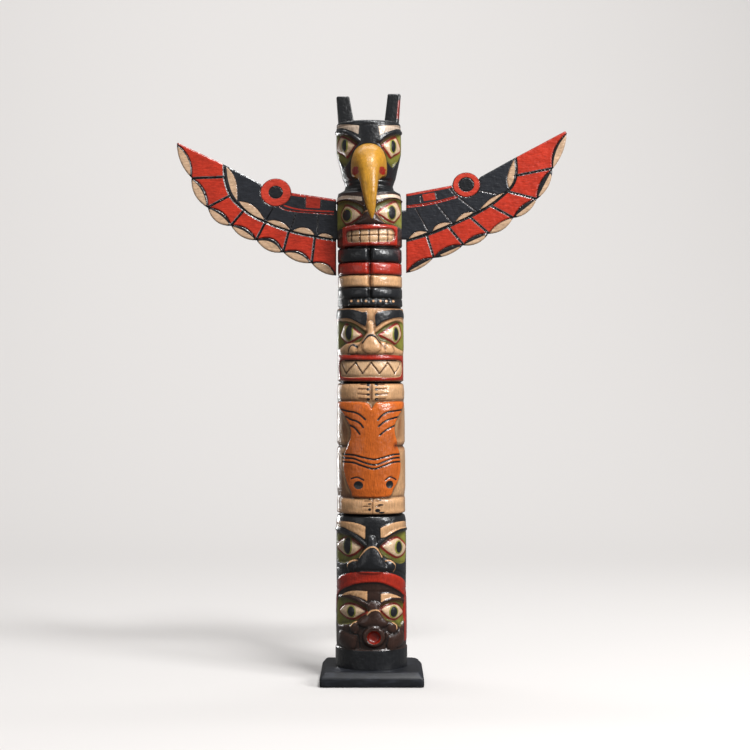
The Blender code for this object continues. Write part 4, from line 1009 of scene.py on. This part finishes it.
# The paint's edges are in millimetres, and noise scales are cells per metre.
EDGE_WANDER = 0.22
EDGE_SOFTNESS = 0.10
WANDER_CELLS = 420.0
PATCH_CELLS = 75.0
TOOL_MARK_CELLS = 210.0
PORE_FINENESS = 1.7
LOG_BRUSH = (1400, 1400, 110)


def painted_wood(name, base, coats, grain_scale, glaze_and_shade_in_cuts=0.55, varnish=0.55):
    """Artist's paint brushed on close-grained cedar under thin varnish, which glints on the tool
    marks. Each coat is an attribute, the distance it starts at in millimetres, and a colour;
    later coats lie on top. Cuts and the feet of raised forms are toned brown, as glaze and as
    painted shade, raised edges are rubbed paler, and the wood's pores show through."""
    material, tree, shader = new_material(name)
    place = add(tree, "TexCoord")
    wobble = add(tree, "TexNoise", [("Vector", place.outputs["Object"]), ("Scale", WANDER_CELLS),
                                    ("Detail", 2.0)])
    wander = add(tree, "MapRange", [("Value", wobble.outputs["Fac"]), ("To Min", -EDGE_WANDER),
                                    ("To Max", EDGE_WANDER)])
    colour = add(tree, "RGB")
    colour.outputs[0].default_value = linear(base)
    colour = colour.outputs[0]
    for attribute, start, tone in coats:
        field = add(tree, "Attribute", attribute_name=attribute)
        moved = add(tree, "Math", [(0, field.outputs["Fac"]), (1, wander.outputs["Result"])],
                    operation="ADD")
        mask = add(tree, "MapRange", [("Value", moved.outputs["Value"]),
                                      ("From Min", start - EDGE_SOFTNESS),
                                      ("From Max", start + EDGE_SOFTNESS)])
        layer = add(tree, "Mix", [("Factor", mask.outputs["Result"]), ("A", colour), ("B", linear(tone))],
                    data_type="RGBA")
        colour = layer.outputs["Result"]
    along = add(tree, "Mapping", [("Vector", place.outputs["Object"]), ("Scale", grain_scale)])
    grain = add(tree, "TexNoise", [("Vector", along.outputs["Vector"]), ("Scale", 1.0), ("Detail", 4.0),
                                   ("Roughness", 0.62)])
    cloud = add(tree, "TexNoise", [("Vector", place.outputs["Object"]), ("Scale", PATCH_CELLS),
                                   ("Detail", 3.0)])
    strokes = add(tree, "MapRange", [("Value", grain.outputs["Fac"]), ("From Min", 0.25),
                                     ("From Max", 0.75), ("To Min", 0.64), ("To Max", 1.25)])
    patches = add(tree, "MapRange", [("Value", cloud.outputs["Fac"]), ("From Min", 0.25),
                                     ("From Max", 0.75), ("To Min", 0.86), ("To Max", 1.12)])
    # Glaze and painted shade: darker in the cuts; raised edges are rubbed paler.
    depth = add(tree, "Attribute", attribute_name="hollow")
    cut = add(tree, "MapRange", [("Value", depth.outputs["Fac"]), ("From Min", -0.7), ("From Max", 0.35),
                                 ("To Min", 1.0 - glaze_and_shade_in_cuts), ("To Max", 1.12)])
    tone = add(tree, "Math", [(0, strokes.outputs["Result"]), (1, patches.outputs["Result"])],
               operation="MULTIPLY")
    tone = add(tree, "Math", [(0, tone.outputs["Value"]), (1, cut.outputs["Result"])], operation="MULTIPLY")
    shaded = add(tree, "VectorMath", [(0, colour), ("Scale", tone.outputs["Value"])], operation="SCALE")
    pore_place = add(tree, "Mapping", [("Vector", place.outputs["Object"]),
                                       ("Scale", tuple(PORE_FINENESS * size for size in grain_scale))])
    pore = add(tree, "TexNoise", [("Vector", pore_place.outputs["Vector"]), ("Scale", 1.0),
                                  ("Detail", 1.0)])
    dark = add(tree, "MapRange", [("Value", pore.outputs["Fac"]), ("From Min", 0.60), ("From Max", 0.70),
                                  ("To Max", 0.45)])
    # Glaze and painted shade: brown mixed in by the piece's share, patchy, and in the wood's pores.
    brown_glaze_and_shade = add(tree, "Attribute", attribute_name="glaze_and_shade")
    patchy = add(tree, "MapRange", [("Value", cloud.outputs["Fac"]), ("From Min", 0.3), ("From Max", 0.7),
                                    ("To Min", 0.55), ("To Max", 1.0)])
    thick = add(tree, "Math", [(0, brown_glaze_and_shade.outputs["Fac"]), (1, patchy.outputs["Result"])],
                operation="MULTIPLY")
    share = add(tree, "Math", [(0, thick.outputs["Value"]), (1, dark.outputs["Result"])],
                operation="MAXIMUM")
    share.use_clamp = True
    browned = add(tree, "VectorMath", [(0, shaded.outputs["Vector"]), (1, SHADE_AND_GLAZE_TINT)],
                  operation="MULTIPLY")
    glaze_and_shade = add(tree, "Mix", [("Factor", share.outputs["Value"]), ("A", shaded.outputs["Vector"]),
                               ("B", browned.outputs["Vector"])], data_type="RGBA")
    tree.links.new(glaze_and_shade.outputs["Result"], shader.inputs["Base Color"])
    rough = add(tree, "MapRange", [("Value", grain.outputs["Fac"]), ("To Min", 0.24), ("To Max", 0.42)])
    tree.links.new(rough.outputs["Result"], shader.inputs["Roughness"])
    shader.inputs["Coat Weight"].default_value = varnish
    shader.inputs["Coat Roughness"].default_value = 0.13
    chips = add(tree, "TexNoise", [("Vector", place.outputs["Object"]), ("Scale", TOOL_MARK_CELLS),
                                   ("Detail", 1.5)])
    cut_marks = add(tree, "Bump", [("Height", chips.outputs["Fac"]), ("Strength", 0.55),
                                   ("Distance", 0.0011)])
    bump = add(tree, "Bump", [("Height", grain.outputs["Fac"]), ("Strength", 0.45), ("Distance", 0.0005),
                              ("Normal", cut_marks.outputs["Normal"])])
    tree.links.new(cut_marks.outputs["Normal"], shader.inputs["Coat Normal"])
    tree.links.new(bump.outputs["Normal"], shader.inputs["Normal"])
    return material


log_coats = [("brown", 0.0, CEDAR_PAINT["brown"]), ("cream", 0.0, CEDAR_PAINT["cream"]),
             ("orange", 0.0, CEDAR_PAINT["orange"]), ("green", 0.0, CEDAR_PAINT["green"]),
             ("eyelid", -1.30, EYELID_RED), ("eyelid", 0.90, CEDAR_PAINT["white"]),
             ("iris", 0.0, CEDAR_PAINT["green"]), ("pupil", 0.0, CEDAR_PAINT["black"]),
             ("red", 0.0, CEDAR_PAINT["red"]), ("teeth", 0.0, CEDAR_PAINT["teeth"]),
             ("black", 0.0, CEDAR_PAINT["black"]), ("pale", 0.0, CEDAR_PAINT["pale"]),
             ("brown_glaze_and_shade", 0.0, CEDAR_PAINT["brown_glaze_and_shade"]), ("cream_dot", 0.0, CEDAR_PAINT["cream"])]
log_paint = painted_wood("varnished_artist_paint_on_cedar", CEDAR_PAINT["black"], log_coats, LOG_BRUSH)
hand_over(log, "pole", log_paint, LOG_CREASE_DEGREES)


# Beak: one hooked piece whittled from yellow cedar, its arched root let into a seat in the
# eagle's face and glued. It is painted golden yellow with red nostrils and varnished.

BEAK_YELLOW = "#d3982e"
BEAK_ROWS = 88
NOSTRIL_LOBES = ((0.0143, -0.0030, 0.0036, 0.0024), (0.0137, -0.0063, 0.0035, 0.0024))
NOSTRIL_FORWARD = 0.003
ROOT_SHADE_AND_GLAZE = 0.004
BEAK_BRUSH = (1200, 1200, 120)
BEAK_VARNISH = 0.2
BEAK_CREASE_DEGREES = 50
BEAK_LEAST = (0.02, 0.01, 0.02)

# Each station is the share of the reach, of the drop, the turn in degrees, and the section's
# width, height above and depth below as shares of the root's.
stations = ((0.00, 0.00, 0, 1.00, 1.00, 1.00), (0.28, 0.00, 5, 0.97, 0.94, 1.00),
            (0.48, 0.03, 16, 0.87, 0.82, 0.98), (0.64, 0.10, 32, 0.70, 0.64, 0.92),
            (0.79, 0.22, 50, 0.54, 0.46, 0.74), (0.91, 0.40, 67, 0.45, 0.31, 0.55),
            (0.98, 0.60, 79, 0.35, 0.21, 0.40), (1.00, 0.80, 87, 0.24, 0.13, 0.25),
            (0.99, 0.93, 90, 0.13, 0.07, 0.13), (0.98, 1.00, 90, 0.03, 0.02, 0.03))
rings = [beak_ring(beak_root, 0.0, 0.0, (1, 1, 1))]
for reach, drop, tilt, *section in rounded(stations, closed=False, steps=BEAK_ROWS // len(stations)):
    shares = [max(share, least) for share, least in zip(section, BEAK_LEAST)]
    rings.append(beak_ring(beak_face + BEAK_REACH * reach, BEAK_DROP * drop, math.radians(tilt), shares))
beak = loft("beak_piece", rings)
places = mesh_places(beak)
red = np.full(len(places), FAR_FROM_PAINT)
front = places[:, 1] < -beak_face - NOSTRIL_FORWARD
for side in (-1, 1):
    across = (places[:, 0] - log_centre(BEAK_LEVEL)) * side
    for out_at, up_at, wide, tall in NOSTRIL_LOBES:
        lobe = np.hypot((across - out_at) / wide, (places[:, 2] - BEAK_LEVEL - up_at) / tall)
        red = np.where(front, np.maximum(red, (1 - lobe) * tall * MILLIMETRES), red)
store(beak.data, "red", red)
store(beak.data, "hollow", np.zeros(len(places)))
# Glaze and painted shade: the beak browns over its last few millimetres to the root, where it meets the face.
store(beak.data, "glaze_and_shade", np.clip(1 - (-places[:, 1] - beak_face) / ROOT_SHADE_AND_GLAZE, 0, 1))
beak_paint = painted_wood("varnished_yellow_paint_on_cedar", BEAK_YELLOW,
                          [("red", 0.0, CEDAR_PAINT["red"])], BEAK_BRUSH, varnish=BEAK_VARNISH)
hand_over(beak, "beak", beak_paint, BEAK_CREASE_DEGREES)


# Wings: two flat boards sawn to a row of feather tips, with the feathers cut in the front as
# V grooves and painted red, black and cream. A tab on each root is glued in the log's side.

GROOVE_WIDTH = 0.0024
GROOVE_DEPTH = 0.0012
SCORE_WIDTH = 0.0014
# Painted highlights: thin pale glint lines beside the grooves, where their edges catch the light.
GLINT_WIDTH = 0.0007
GLINT_SHIFT = 0.72
PAINTED_PAST = 0.34
WING_PITCH = 0.0009
PITCH_ROW = 0.87
PITCH_FROM_EDGE = 0.45
FRONT_SUNK = 0.0002
EDGE_WEAR = 0.0008
EDGE_WEAR_WIDTH = 0.0014
BACK_STRIP = 0.0007
FILL_INSIDE = 1
FILL_TOLERANCE = 0.000001
RING_ARC_FROM = 26
RING_ARC_STEP = 9.5
RING_ARC_COUNT = 17
WING_BRUSH = (150, 1200, 1200)
WING_CREASE_DEGREES = 40

# A wing's plan is in percents of its length from the root's middle. Bulges are shares of the
# straight line between two feather tips.
RIGHT_WING = dict(
    tips=[(0, -29.9), (17.1, -20.5), (35.6, -12.6), (51.5, -5.4), (66.9, 4.5), (81.6, 16.1), (91.3, 34.8),
          (100.4, 57.2)],
    bulges=(0.09, 0.095, 0.15, 0.15, 0.15, 0.13, 0.083),
    red_bulges=(0.14, 0.14, 0.13, 0.10, 0.13, 0.135, 0.15),
    leaf_bulges=(0, 0, 0, 0.095, 0, 0, 0.083),
    leaf_spans=((0.12, 0.93), (0.22, 0.90), (0.05, 0.88), (0.02, 0.95), (0.10, 0.95), (0.10, 0.85),
                (0.05, 0.95)),
    upper_edge=[(99.4, 58.6), (68.0, 41.9), (46.5, 30.0)],
    ring=(37.5, 25.1), ring_half=(8.5, 7.7), disc_half=(4.6, 4.2),
    bar_top=[(28.2, 24.6), (0, 19.3)],
    inner_line=[(68.2, 42.3), (68.9, 34.8), (68.4, 29.8), (66.9, 25.4), (63.7, 21.4), (54.0, 13.1),
                (42.2, 6.2), (27.1, -0.7), (13.8, -6.1), (0.2, -10.0)],
    dividers=[((13.1, -7.6), (17.1, -20.3)), ((26.7, -1.8), (35.6, -12.4)), ((40.0, 4.6), (51.4, -5.3)),
              ((52.9, 11.8), (66.4, 4.6)), ((64.4, 20.4), (81.4, 16.1)), ((68.0, 30.5), (91.1, 35.2))],
    inner_leaves=[[(67.3, 40.9), (64.1, 33.3), (63.0, 27.6), (64.2, 22.8), (66.9, 27.6), (67.9, 34.1)],
                  [(61.5, 20.3), (53.6, 16.8), (49.0, 12.9), (46.1, 9.7), (50.8, 11.7), (55.8, 15.3)],
                  [(42.5, 8.2), (36.4, 7.2), (32.8, 4.6), (30.7, 1.8), (34.3, 3.3), (38.6, 5.5)],
                  [(28.2, 1.1), (22.8, 1.2), (18.5, -0.7), (16.3, -4.0), (19.9, -2.4), (24.2, -0.7)],
                  [(13.5, -4.5), (8.4, -4.0), (4.5, -5.4), (1.3, -9.0), (4.9, -7.7), (9.2, -6.1)]],
    scores=[((46.1, 21.1), (56.9, 19.0)), ((32.8, 16.8), (44.0, 8.2)), ((18.9, 12.9), (28.9, 0.7)),
            ((5.9, 10.0), (13.5, -3.6))],
    # The right wing's scores and bar dividers carry a painted highlight line.
    score_glint="painted_glint",
    bars=[([(27.8, 23.8), (0.2, 18.6)], 0.0028),
          ([(31.4, 17.4), (19.9, 14.3), (10.6, 12.5), (0.2, 11.3)], 0.0026)],
    square=[(9.9, 18.8), (17.6, 20.2), (18.5, 15.8), (11.0, 14.8)],
    bar_dividers=[((8.7, 18.3), (9.2, 13.8)), ((18.3, 20.1), (19.2, 16.1)), ((27.0, 22.6), (31.6, 16.8))])
LEFT_WING = dict(
    tips=[(0, -31.5), (15.6, -23.7), (33.2, -17.0), (49.9, -9.4), (65.7, -0.4), (80.2, 10.7), (90.4, 29.4),
          (99.5, 50.4)],
    bulges=(0.12, 0.12, 0.16, 0.15, 0.20, 0.155, 0.10),
    red_bulges=(0.20, 0.21, 0.26, 0.17, 0.17, 0.155, 0.15),
    leaf_bulges=(0.175, 0.12, 0.137, 0.055, 0.06, 0.085, 0.115),
    leaf_spans=((0.08, 0.92),) * 7,
    upper_edge=[(99.0, 51.3), (69.9, 37.6), (47.2, 25.6)],
    ring=(37.7, 20.3), ring_half=(9.6, 8.7), disc_half=(4.1, 3.7),
    bar_top=[(28.3, 20.1), (0, 16.0)],
    inner_line=[(70.0, 38.0), (69.8, 29.8), (68.3, 23.3), (65.4, 16.8), (60.4, 11.5), (55.4, 7.4),
                (49.7, 3.9), (44.6, 1.8), (38.2, -1.0), (30.3, -3.6), (22.4, -5.8), (13.1, -7.6),
                (0.2, -9.7)],
    dividers=[((13.4, -8.6), (15.2, -23.5)), ((29.6, -4.3), (33.0, -16.9)), ((44.6, 0.7), (49.7, -9.1)),
              ((58.3, 8.2), (65.4, -0.2)), ((66.9, 17.9), (79.8, 11.1)), ((69.8, 29.8), (90.1, 29.0))],
    inner_leaves=[[(68.5, 36.6), (64.7, 31.9), (62.2, 25.4), (61.7, 15.0), (65.1, 20.4), (67.5, 28.3)],
                  [(60.8, 14.8), (54.0, 13.2), (48.9, 9.3), (44.8, 3.3), (51.1, 5.7), (56.8, 10.0)],
                  [(43.6, 2.3), (38.2, 2.8), (32.4, 0.7), (28.5, -3.4), (33.9, -2.2), (38.9, -0.2)],
                  [(27.3, -3.8), (22.4, -1.8), (16.7, -2.7), (13.4, -6.3), (18.1, -5.8), (22.4, -5.0)],
                  [(11.3, -6.7), (8.0, -5.4), (3.7, -6.3), (1.7, -8.4), (4.5, -8.1), (8.0, -7.6)]],
    scores=[((39.6, 10.4), (43.6, 3.2)), ((24.9, 7.5), (28.1, -1.8)), ((11.3, 6.8), (11.6, -5.4))],
    score_glint=None,
    bars=[([(28.1, 19.1), (0.9, 15.5)], 0.0028), ([(32.4, 12.0), (22.4, 9.5), (1.6, 8.2)], 0.0014),
          ([(35.3, 11.2), (28.1, 8.6), (1.6, 6.5)], 0.0013)],
    square=[(18.8, 16.7), (9.8, 16.1), (10.1, 10.2), (19.0, 10.7)],
    bar_dividers=[((19.2, 17.9), (19.2, 10.7)), ((9.2, 16.1), (9.2, 10.0))])


def arc_through(start, end, bulge, steps=8):
    """Points on the arc that leaves the straight line by the bulge, without its last point."""
    (x0, z0), (x1, z1) = start, end
    length = math.hypot(x1 - x0, z1 - z0)
    path = []
    for step in range(steps):
        t = step / steps
        out_by = bulge * 4 * t * (1 - t)
        path.append((x0 + (x1 - x0) * t + out_by * (z1 - z0) / length,
                     z0 + (z1 - z0) * t - out_by * (x1 - x0) / length))
    return path


def between(start, end, share):
    return (start[0] + (end[0] - start[0]) * share, start[1] + (end[1] - start[1]) * share)


def ellipse(centre, half, steps=32):
    turns = [2 * math.pi * step / steps for step in range(steps)]
    return [(centre[0] + half[0] * math.cos(angle), centre[1] + half[1] * math.sin(angle)) for angle in turns]


def cornered(points):
    """Every point twice, so that the curve through them keeps its corners."""
    return [point for point in points for _ in (0, 1)]


def wing_metres(points):
    return [(WING_LENGTH * x / 100, WING_LENGTH * z / 100) for x, z in points]


def feather_edge(plan):
    """The outline's outer side, a row of arcs from the root to the tip, in percents."""
    path = []
    for start, end, bulge in zip(plan["tips"], plan["tips"][1:], plan["bulges"]):
        path += arc_through(start, end, bulge * math.dist(start, end))
    return path + [plan["tips"][-1]]


def wing_outline(plan, standoff):
    tab = WING_TAB_HEIGHT / 2
    inside = -standoff - WING_TAB_DEPTH
    edge = feather_edge(plan) + plan["upper_edge"]
    (x, z), (across, up) = plan["ring"], plan["ring_half"]
    for step in range(RING_ARC_COUNT):
        angle = math.radians(RING_ARC_FROM + step * RING_ARC_STEP)
        edge.append((x + across * math.cos(angle), z + up * math.sin(angle)))
    edge += plan["bar_top"]
    return [(0.0, -tab)] + wing_metres(edge) + [(0.0, tab), (inside, tab), (inside, -tab)]


def carve_wing(panel, plan):
    """Feathers, leaves, ring and bar, with painted highlights along the lit edges of grooves. Ink
    lines are drawn last, over the leaves' edges.
    """
    tips = plan["tips"]
    inner_line = plan["inner_line"]
    beyond = [(x + 2, z - 3) for x, z in feather_edge(plan)[::-1]]
    (corner_x, corner_z), (top_x, top_z) = plan["upper_edge"][:2]
    panel.area(cornered(inner_line[::-1]) + cornered([(top_x, top_z + 3), (corner_x, corner_z + 3)])
               + [(corner_x + 5, corner_z - 2)] + beyond + cornered([(0, -38), (0, -10)]), paint="red")
    for k, (start, end) in enumerate(zip(tips, tips[1:])):
        span = math.dist(start, end)
        outside = arc_through(end, start, -PAINTED_PAST * span)
        panel.area(cornered([start]) + arc_through(start, end, -plan["red_bulges"][k] * span)[1:]
                   + cornered([end]) + outside[1:], paint="black")
        first, last = plan["leaf_spans"][k]
        low, high = between(start, end, first), between(start, end, last)
        panel.area(cornered([low]) + arc_through(low, high, -plan["leaf_bulges"][k] * span)[1:]
                   + cornered([high]) + arc_through(high, low, -PAINTED_PAST * span)[1:], paint="leaf")
        panel.line(arc_through(start, end, -plan["red_bulges"][k] * span) + [end], 0.0018, GROOVE_DEPTH)
    for leaf in plan["inner_leaves"]:
        panel.area(cornered([leaf[0]]) + leaf[1:3] + cornered([leaf[3]]) + leaf[4:], paint="leaf")
        panel.line(leaf[:4], SCORE_WIDTH, GROOVE_DEPTH * 0.6)
    for start, end in plan["scores"]:
        panel.line([start, end], SCORE_WIDTH, GROOVE_DEPTH * 0.9)
        # Painted highlight: a pale line along the score's lit edge.
        if plan["score_glint"]:
            panel.line([start, end], 0.0010, paint=plan["score_glint"])
    for start, end in plan["dividers"]:
        panel.line([start, end], GROOVE_WIDTH, GROOVE_DEPTH, paint="ink", spread=1.1)
        # Painted highlight: a thin pale glint beside each divider, along its groove's lit edge.
        span = math.dist(start, end)
        shift_x = GLINT_SHIFT * (end[1] - start[1]) / span
        shift_z = GLINT_SHIFT * (start[0] - end[0]) / span
        glint = [(x - shift_x, z - shift_z) for x, z in (start, end)]
        panel.line(glint, GLINT_WIDTH, paint="painted_glint")
    panel.line(inner_line, 0.0030, GROOVE_DEPTH, paint="ink")
    ring = ellipse(plan["ring"], plan["ring_half"])
    disc = ellipse(plan["ring"], plan["disc_half"])
    panel.area(ring, 0.0006, 0.0012, paint="ring")
    panel.area(disc, paint="disc")
    for loop, width in ((ring, 0.0014), (disc, 0.0016)):
        panel.line(loop + loop[:1], width, GROOVE_DEPTH * 0.9)
    panel.line(disc + disc[:1], 0.0013, paint="ink")
    for path, width in plan["bars"]:
        panel.line(path, width, paint="bar")
    panel.line(plan["bars"][-1][0], 0.0012, GROOVE_DEPTH * 0.6)
    panel.area(cornered(plan["square"]), paint="bar")
    # Painted highlights also along the right wing's bar dividers.
    for start, end in plan["bar_dividers"]:
        panel.line([start, end], 0.0010, GROOVE_DEPTH * 0.6, paint=plan["score_glint"], spread=0.7)


WING_PAINTS = ("red", "black", "leaf", "bar", "ring", "disc", "ink", "painted_glint")


def make_wing(plan, standoff):
    """A board cut out along its outline, its front face fine enough to carve."""
    outline = wing_outline(plan, standoff)
    xs = [p[0] for p in outline]
    zs = [p[1] for p in outline]
    grid = []
    for row_index, z in enumerate(np.arange(min(zs), max(zs), WING_PITCH * PITCH_ROW)):
        shift = WING_PITCH / 2 * (row_index % 2)
        for x in np.arange(min(xs) + shift, max(xs), WING_PITCH):
            grid.append((x, z))
    grid = np.array(grid)
    inside = distance_to(outline, grid[:, 0], grid[:, 1], True)
    grid = grid[inside > WING_PITCH * PITCH_FROM_EDGE]
    border = []
    for start, end in zip(outline, outline[1:] + outline[:1]):
        pieces = max(1, round(math.dist(start, end) / WING_PITCH))
        border += [between(start, end, step / pieces) for step in range(pieces)]
    points = [Vector(p) for p in border] + [Vector(p) for p in grid]
    filled = geometry.delaunay_2d_cdt(points, [], [tuple(range(len(border)))], FILL_INSIDE, FILL_TOLERANCE)
    corners, faces = filled[0], filled[2]
    across = np.array([p.x for p in corners])
    up = np.array([p.y for p in corners])
    relief = np.zeros(len(across))
    paint = {name: np.full(len(across), FAR_FROM_PAINT) for name in WING_PAINTS}
    panel = Panel(across, up, relief, paint, WING_LENGTH)
    carve_wing(panel, plan)
    rim = distance_to(outline, across, up, True)
    relief -= EDGE_WEAR * (1 - smoothstep(rim / EDGE_WEAR_WIDTH)) + FRONT_SUNK
    front = WING_THICKNESS / 2
    top = [(across[k], -front - min(relief[k], 0), up[k]) for k in range(len(across))]
    sides = dict.fromkeys(pair for face in faces for pair in zip(face, face[1:] + face[:1]))
    after_on_rim = {a: b for a, b in sides if (b, a) not in sides}
    loop = [next(iter(after_on_rim))]
    while after_on_rim[loop[-1]] != loop[0]:
        loop.append(after_on_rim[loop[-1]])
    all_faces = [tuple(face) for face in faces]
    previous = loop
    for depth in (front - BACK_STRIP, front):
        ring = []
        for index in loop:
            ring.append(len(top))
            top.append((across[index], depth, up[index]))
        size = len(loop)
        for k in range(size):
            after = (k + 1) % size
            all_faces.append((previous[after], previous[k], ring[k], ring[after]))
        previous = ring
    all_faces.append(tuple(reversed(previous)))
    mesh = bpy.data.meshes.new("wing")
    mesh.from_pydata(top, [], all_faces)
    mesh.validate()
    extra = len(top) - len(across)
    for name in WING_PAINTS:
        store(mesh, name, np.concatenate([paint[name], np.tile(paint[name][loop], extra // len(loop))]))
    # The grooves are darkened in the finish, as glaze and as painted shade.
    hollow = np.clip(relief * MILLIMETRES * 0.6, -1, 0.2)
    store(mesh, "hollow", np.concatenate([hollow, np.zeros(extra)]))
    store(mesh, "glaze_and_shade", np.concatenate([panel.glaze_and_shade, np.zeros(extra)]))
    return mesh


# One of these colours is the pale grey of the painted highlights along the grooves.
BOARD_PAINT = {"ground": "#2b2e35", "red": "#da3a21", "leaf": "#ecc49f", "bar": "#cf3a27",
               "ring": "#d0402c", "ink": "#17181b", "painted_glint": "#a6a7ae",
               "black": CEDAR_PAINT["black"], "disc": CEDAR_PAINT["black"]}
wing_coats = [(name, 0.0, BOARD_PAINT[name]) for name in WING_PAINTS]
wing_paint = painted_wood("varnished_artist_paint_on_board", BOARD_PAINT["ground"], wing_coats, WING_BRUSH)
for name, side, plan in (("wing_right", 1, RIGHT_WING), ("wing_left", -1, LEFT_WING)):
    mesh = make_wing(plan, WING_STANDOFF[side])
    mesh.transform(wing_place(side))
    if side < 0:
        mesh.flip_normals()
    wing = bpy.data.objects.new(name + "_board", mesh)
    bpy.context.scene.collection.objects.link(wing)
    hand_over(wing, name, wing_paint, WING_CREASE_DEGREES)


# Studio: a pale paper sweep that curves up behind; it throws no light back, so the left flank
# stays dark. A soft box at the front right shapes the carving and a higher one throws the short
# soft shadow. Wide ones light the floor, the wall and the left, and a strip draws the left rim.

SWEEP_COLOUR = "#e1dedc"
CAMERA_PLACE = (0.0032, -1.8406, 0.3191)
CAMERA_LENS = 84.1
CAMERA_SENSOR = 36
SWEEP_WIDTH = 12
SWEEP_LENGTH = 8.0
SWEEP_FRONT = -3.5
SWEEP_FLAT_TO = 1.2
SWEEP_BEND = 1.6
FLOOR_GAP = 0.0002
ROOM_COLOUR = "#f4f2f0"
ROOM_LIGHT = 0.16

select_none()
bpy.ops.mesh.primitive_grid_add(x_subdivisions=2, y_subdivisions=48, size=1)
sweep = bpy.context.object
sweep.name = "sweep"
for vert in sweep.data.vertices:
    share = vert.co.y + 0.5
    vert.co.x *= SWEEP_WIDTH
    run = share * SWEEP_LENGTH + SWEEP_FRONT
    past = max(0, run - SWEEP_FLAT_TO)
    bend = min(past / SWEEP_BEND, math.pi / 2)
    vert.co.y = min(run, SWEEP_FLAT_TO) + SWEEP_BEND * math.sin(bend)
    vert.co.z = SWEEP_BEND * (1 - math.cos(bend)) + max(0, past - SWEEP_BEND * math.pi / 2) - FLOOR_GAP
sweep.data.shade_smooth()
paper, tree, shader = new_material("pale_studio_paper")
shader.inputs["Base Color"].default_value = linear(SWEEP_COLOUR)
shader.inputs["Roughness"].default_value = 0.9
shader.inputs["Specular IOR Level"].default_value = 0.0
sweep.data.materials.append(paper)
sweep.visible_glossy = False
sweep.visible_diffuse = False


def soft_box(name, place, aim, size, power):
    light = bpy.data.lights.new(name, "AREA")
    light.shape = "RECTANGLE"
    light.size, light.size_y = size
    light.energy = power
    lamp = bpy.data.objects.new(name, light)
    lamp.location = place
    lamp.rotation_euler = (Vector(aim) - Vector(place)).to_track_quat("-Z", "Y").to_euler()
    bpy.context.scene.collection.objects.link(lamp)
    return lamp


soft_box("key", (1.70, -1.40, 1.20), (0, 0, 0.35), (0.75, 0.75), 38)
soft_box("top", (0.65, -1.22, 2.27), (0, 0, 0.30), (0.45, 0.45), 40)
soft_box("fill", (-1.6, -1.8, 0.7), (0, 0, 0.3), (1.2, 1.2), 3.0)
soft_box("wall", (-0.4, 1.0, 3.0), (-0.4, 2.8, 0.7), (3.4, 1.0), 57)
soft_box("sky", (-0.3, 0.1, 2.6), (-0.2, 0.0, 0), (2.4, 2.4), 9.5)
strip = soft_box("strip", (-0.75, 1.05, 0.33), (0, 0, 0.33), (0.12, 0.50), 3.6)
strip.visible_diffuse = False
rim_lit = bpy.data.collections.new("rim_lit")
rim_lit.objects.link(log)
strip.light_linking.receiver_collection = rim_lit
world = bpy.data.worlds.new("studio")
world.use_nodes = True
room = world.node_tree.nodes["Background"]
room.inputs["Color"].default_value = linear(ROOM_COLOUR)
room.inputs["Strength"].default_value = ROOM_LIGHT
bpy.context.scene.world = world
bpy.context.scene.view_settings.view_transform = "Standard"

camera = bpy.data.objects.new("camera", bpy.data.cameras.new("camera"))
camera.location = CAMERA_PLACE
camera.rotation_euler = (math.radians(90), 0, 0)
camera.data.lens = CAMERA_LENS
camera.data.sensor_width = CAMERA_SENSOR
bpy.context.scene.collection.objects.link(camera)
bpy.context.scene.camera = camera
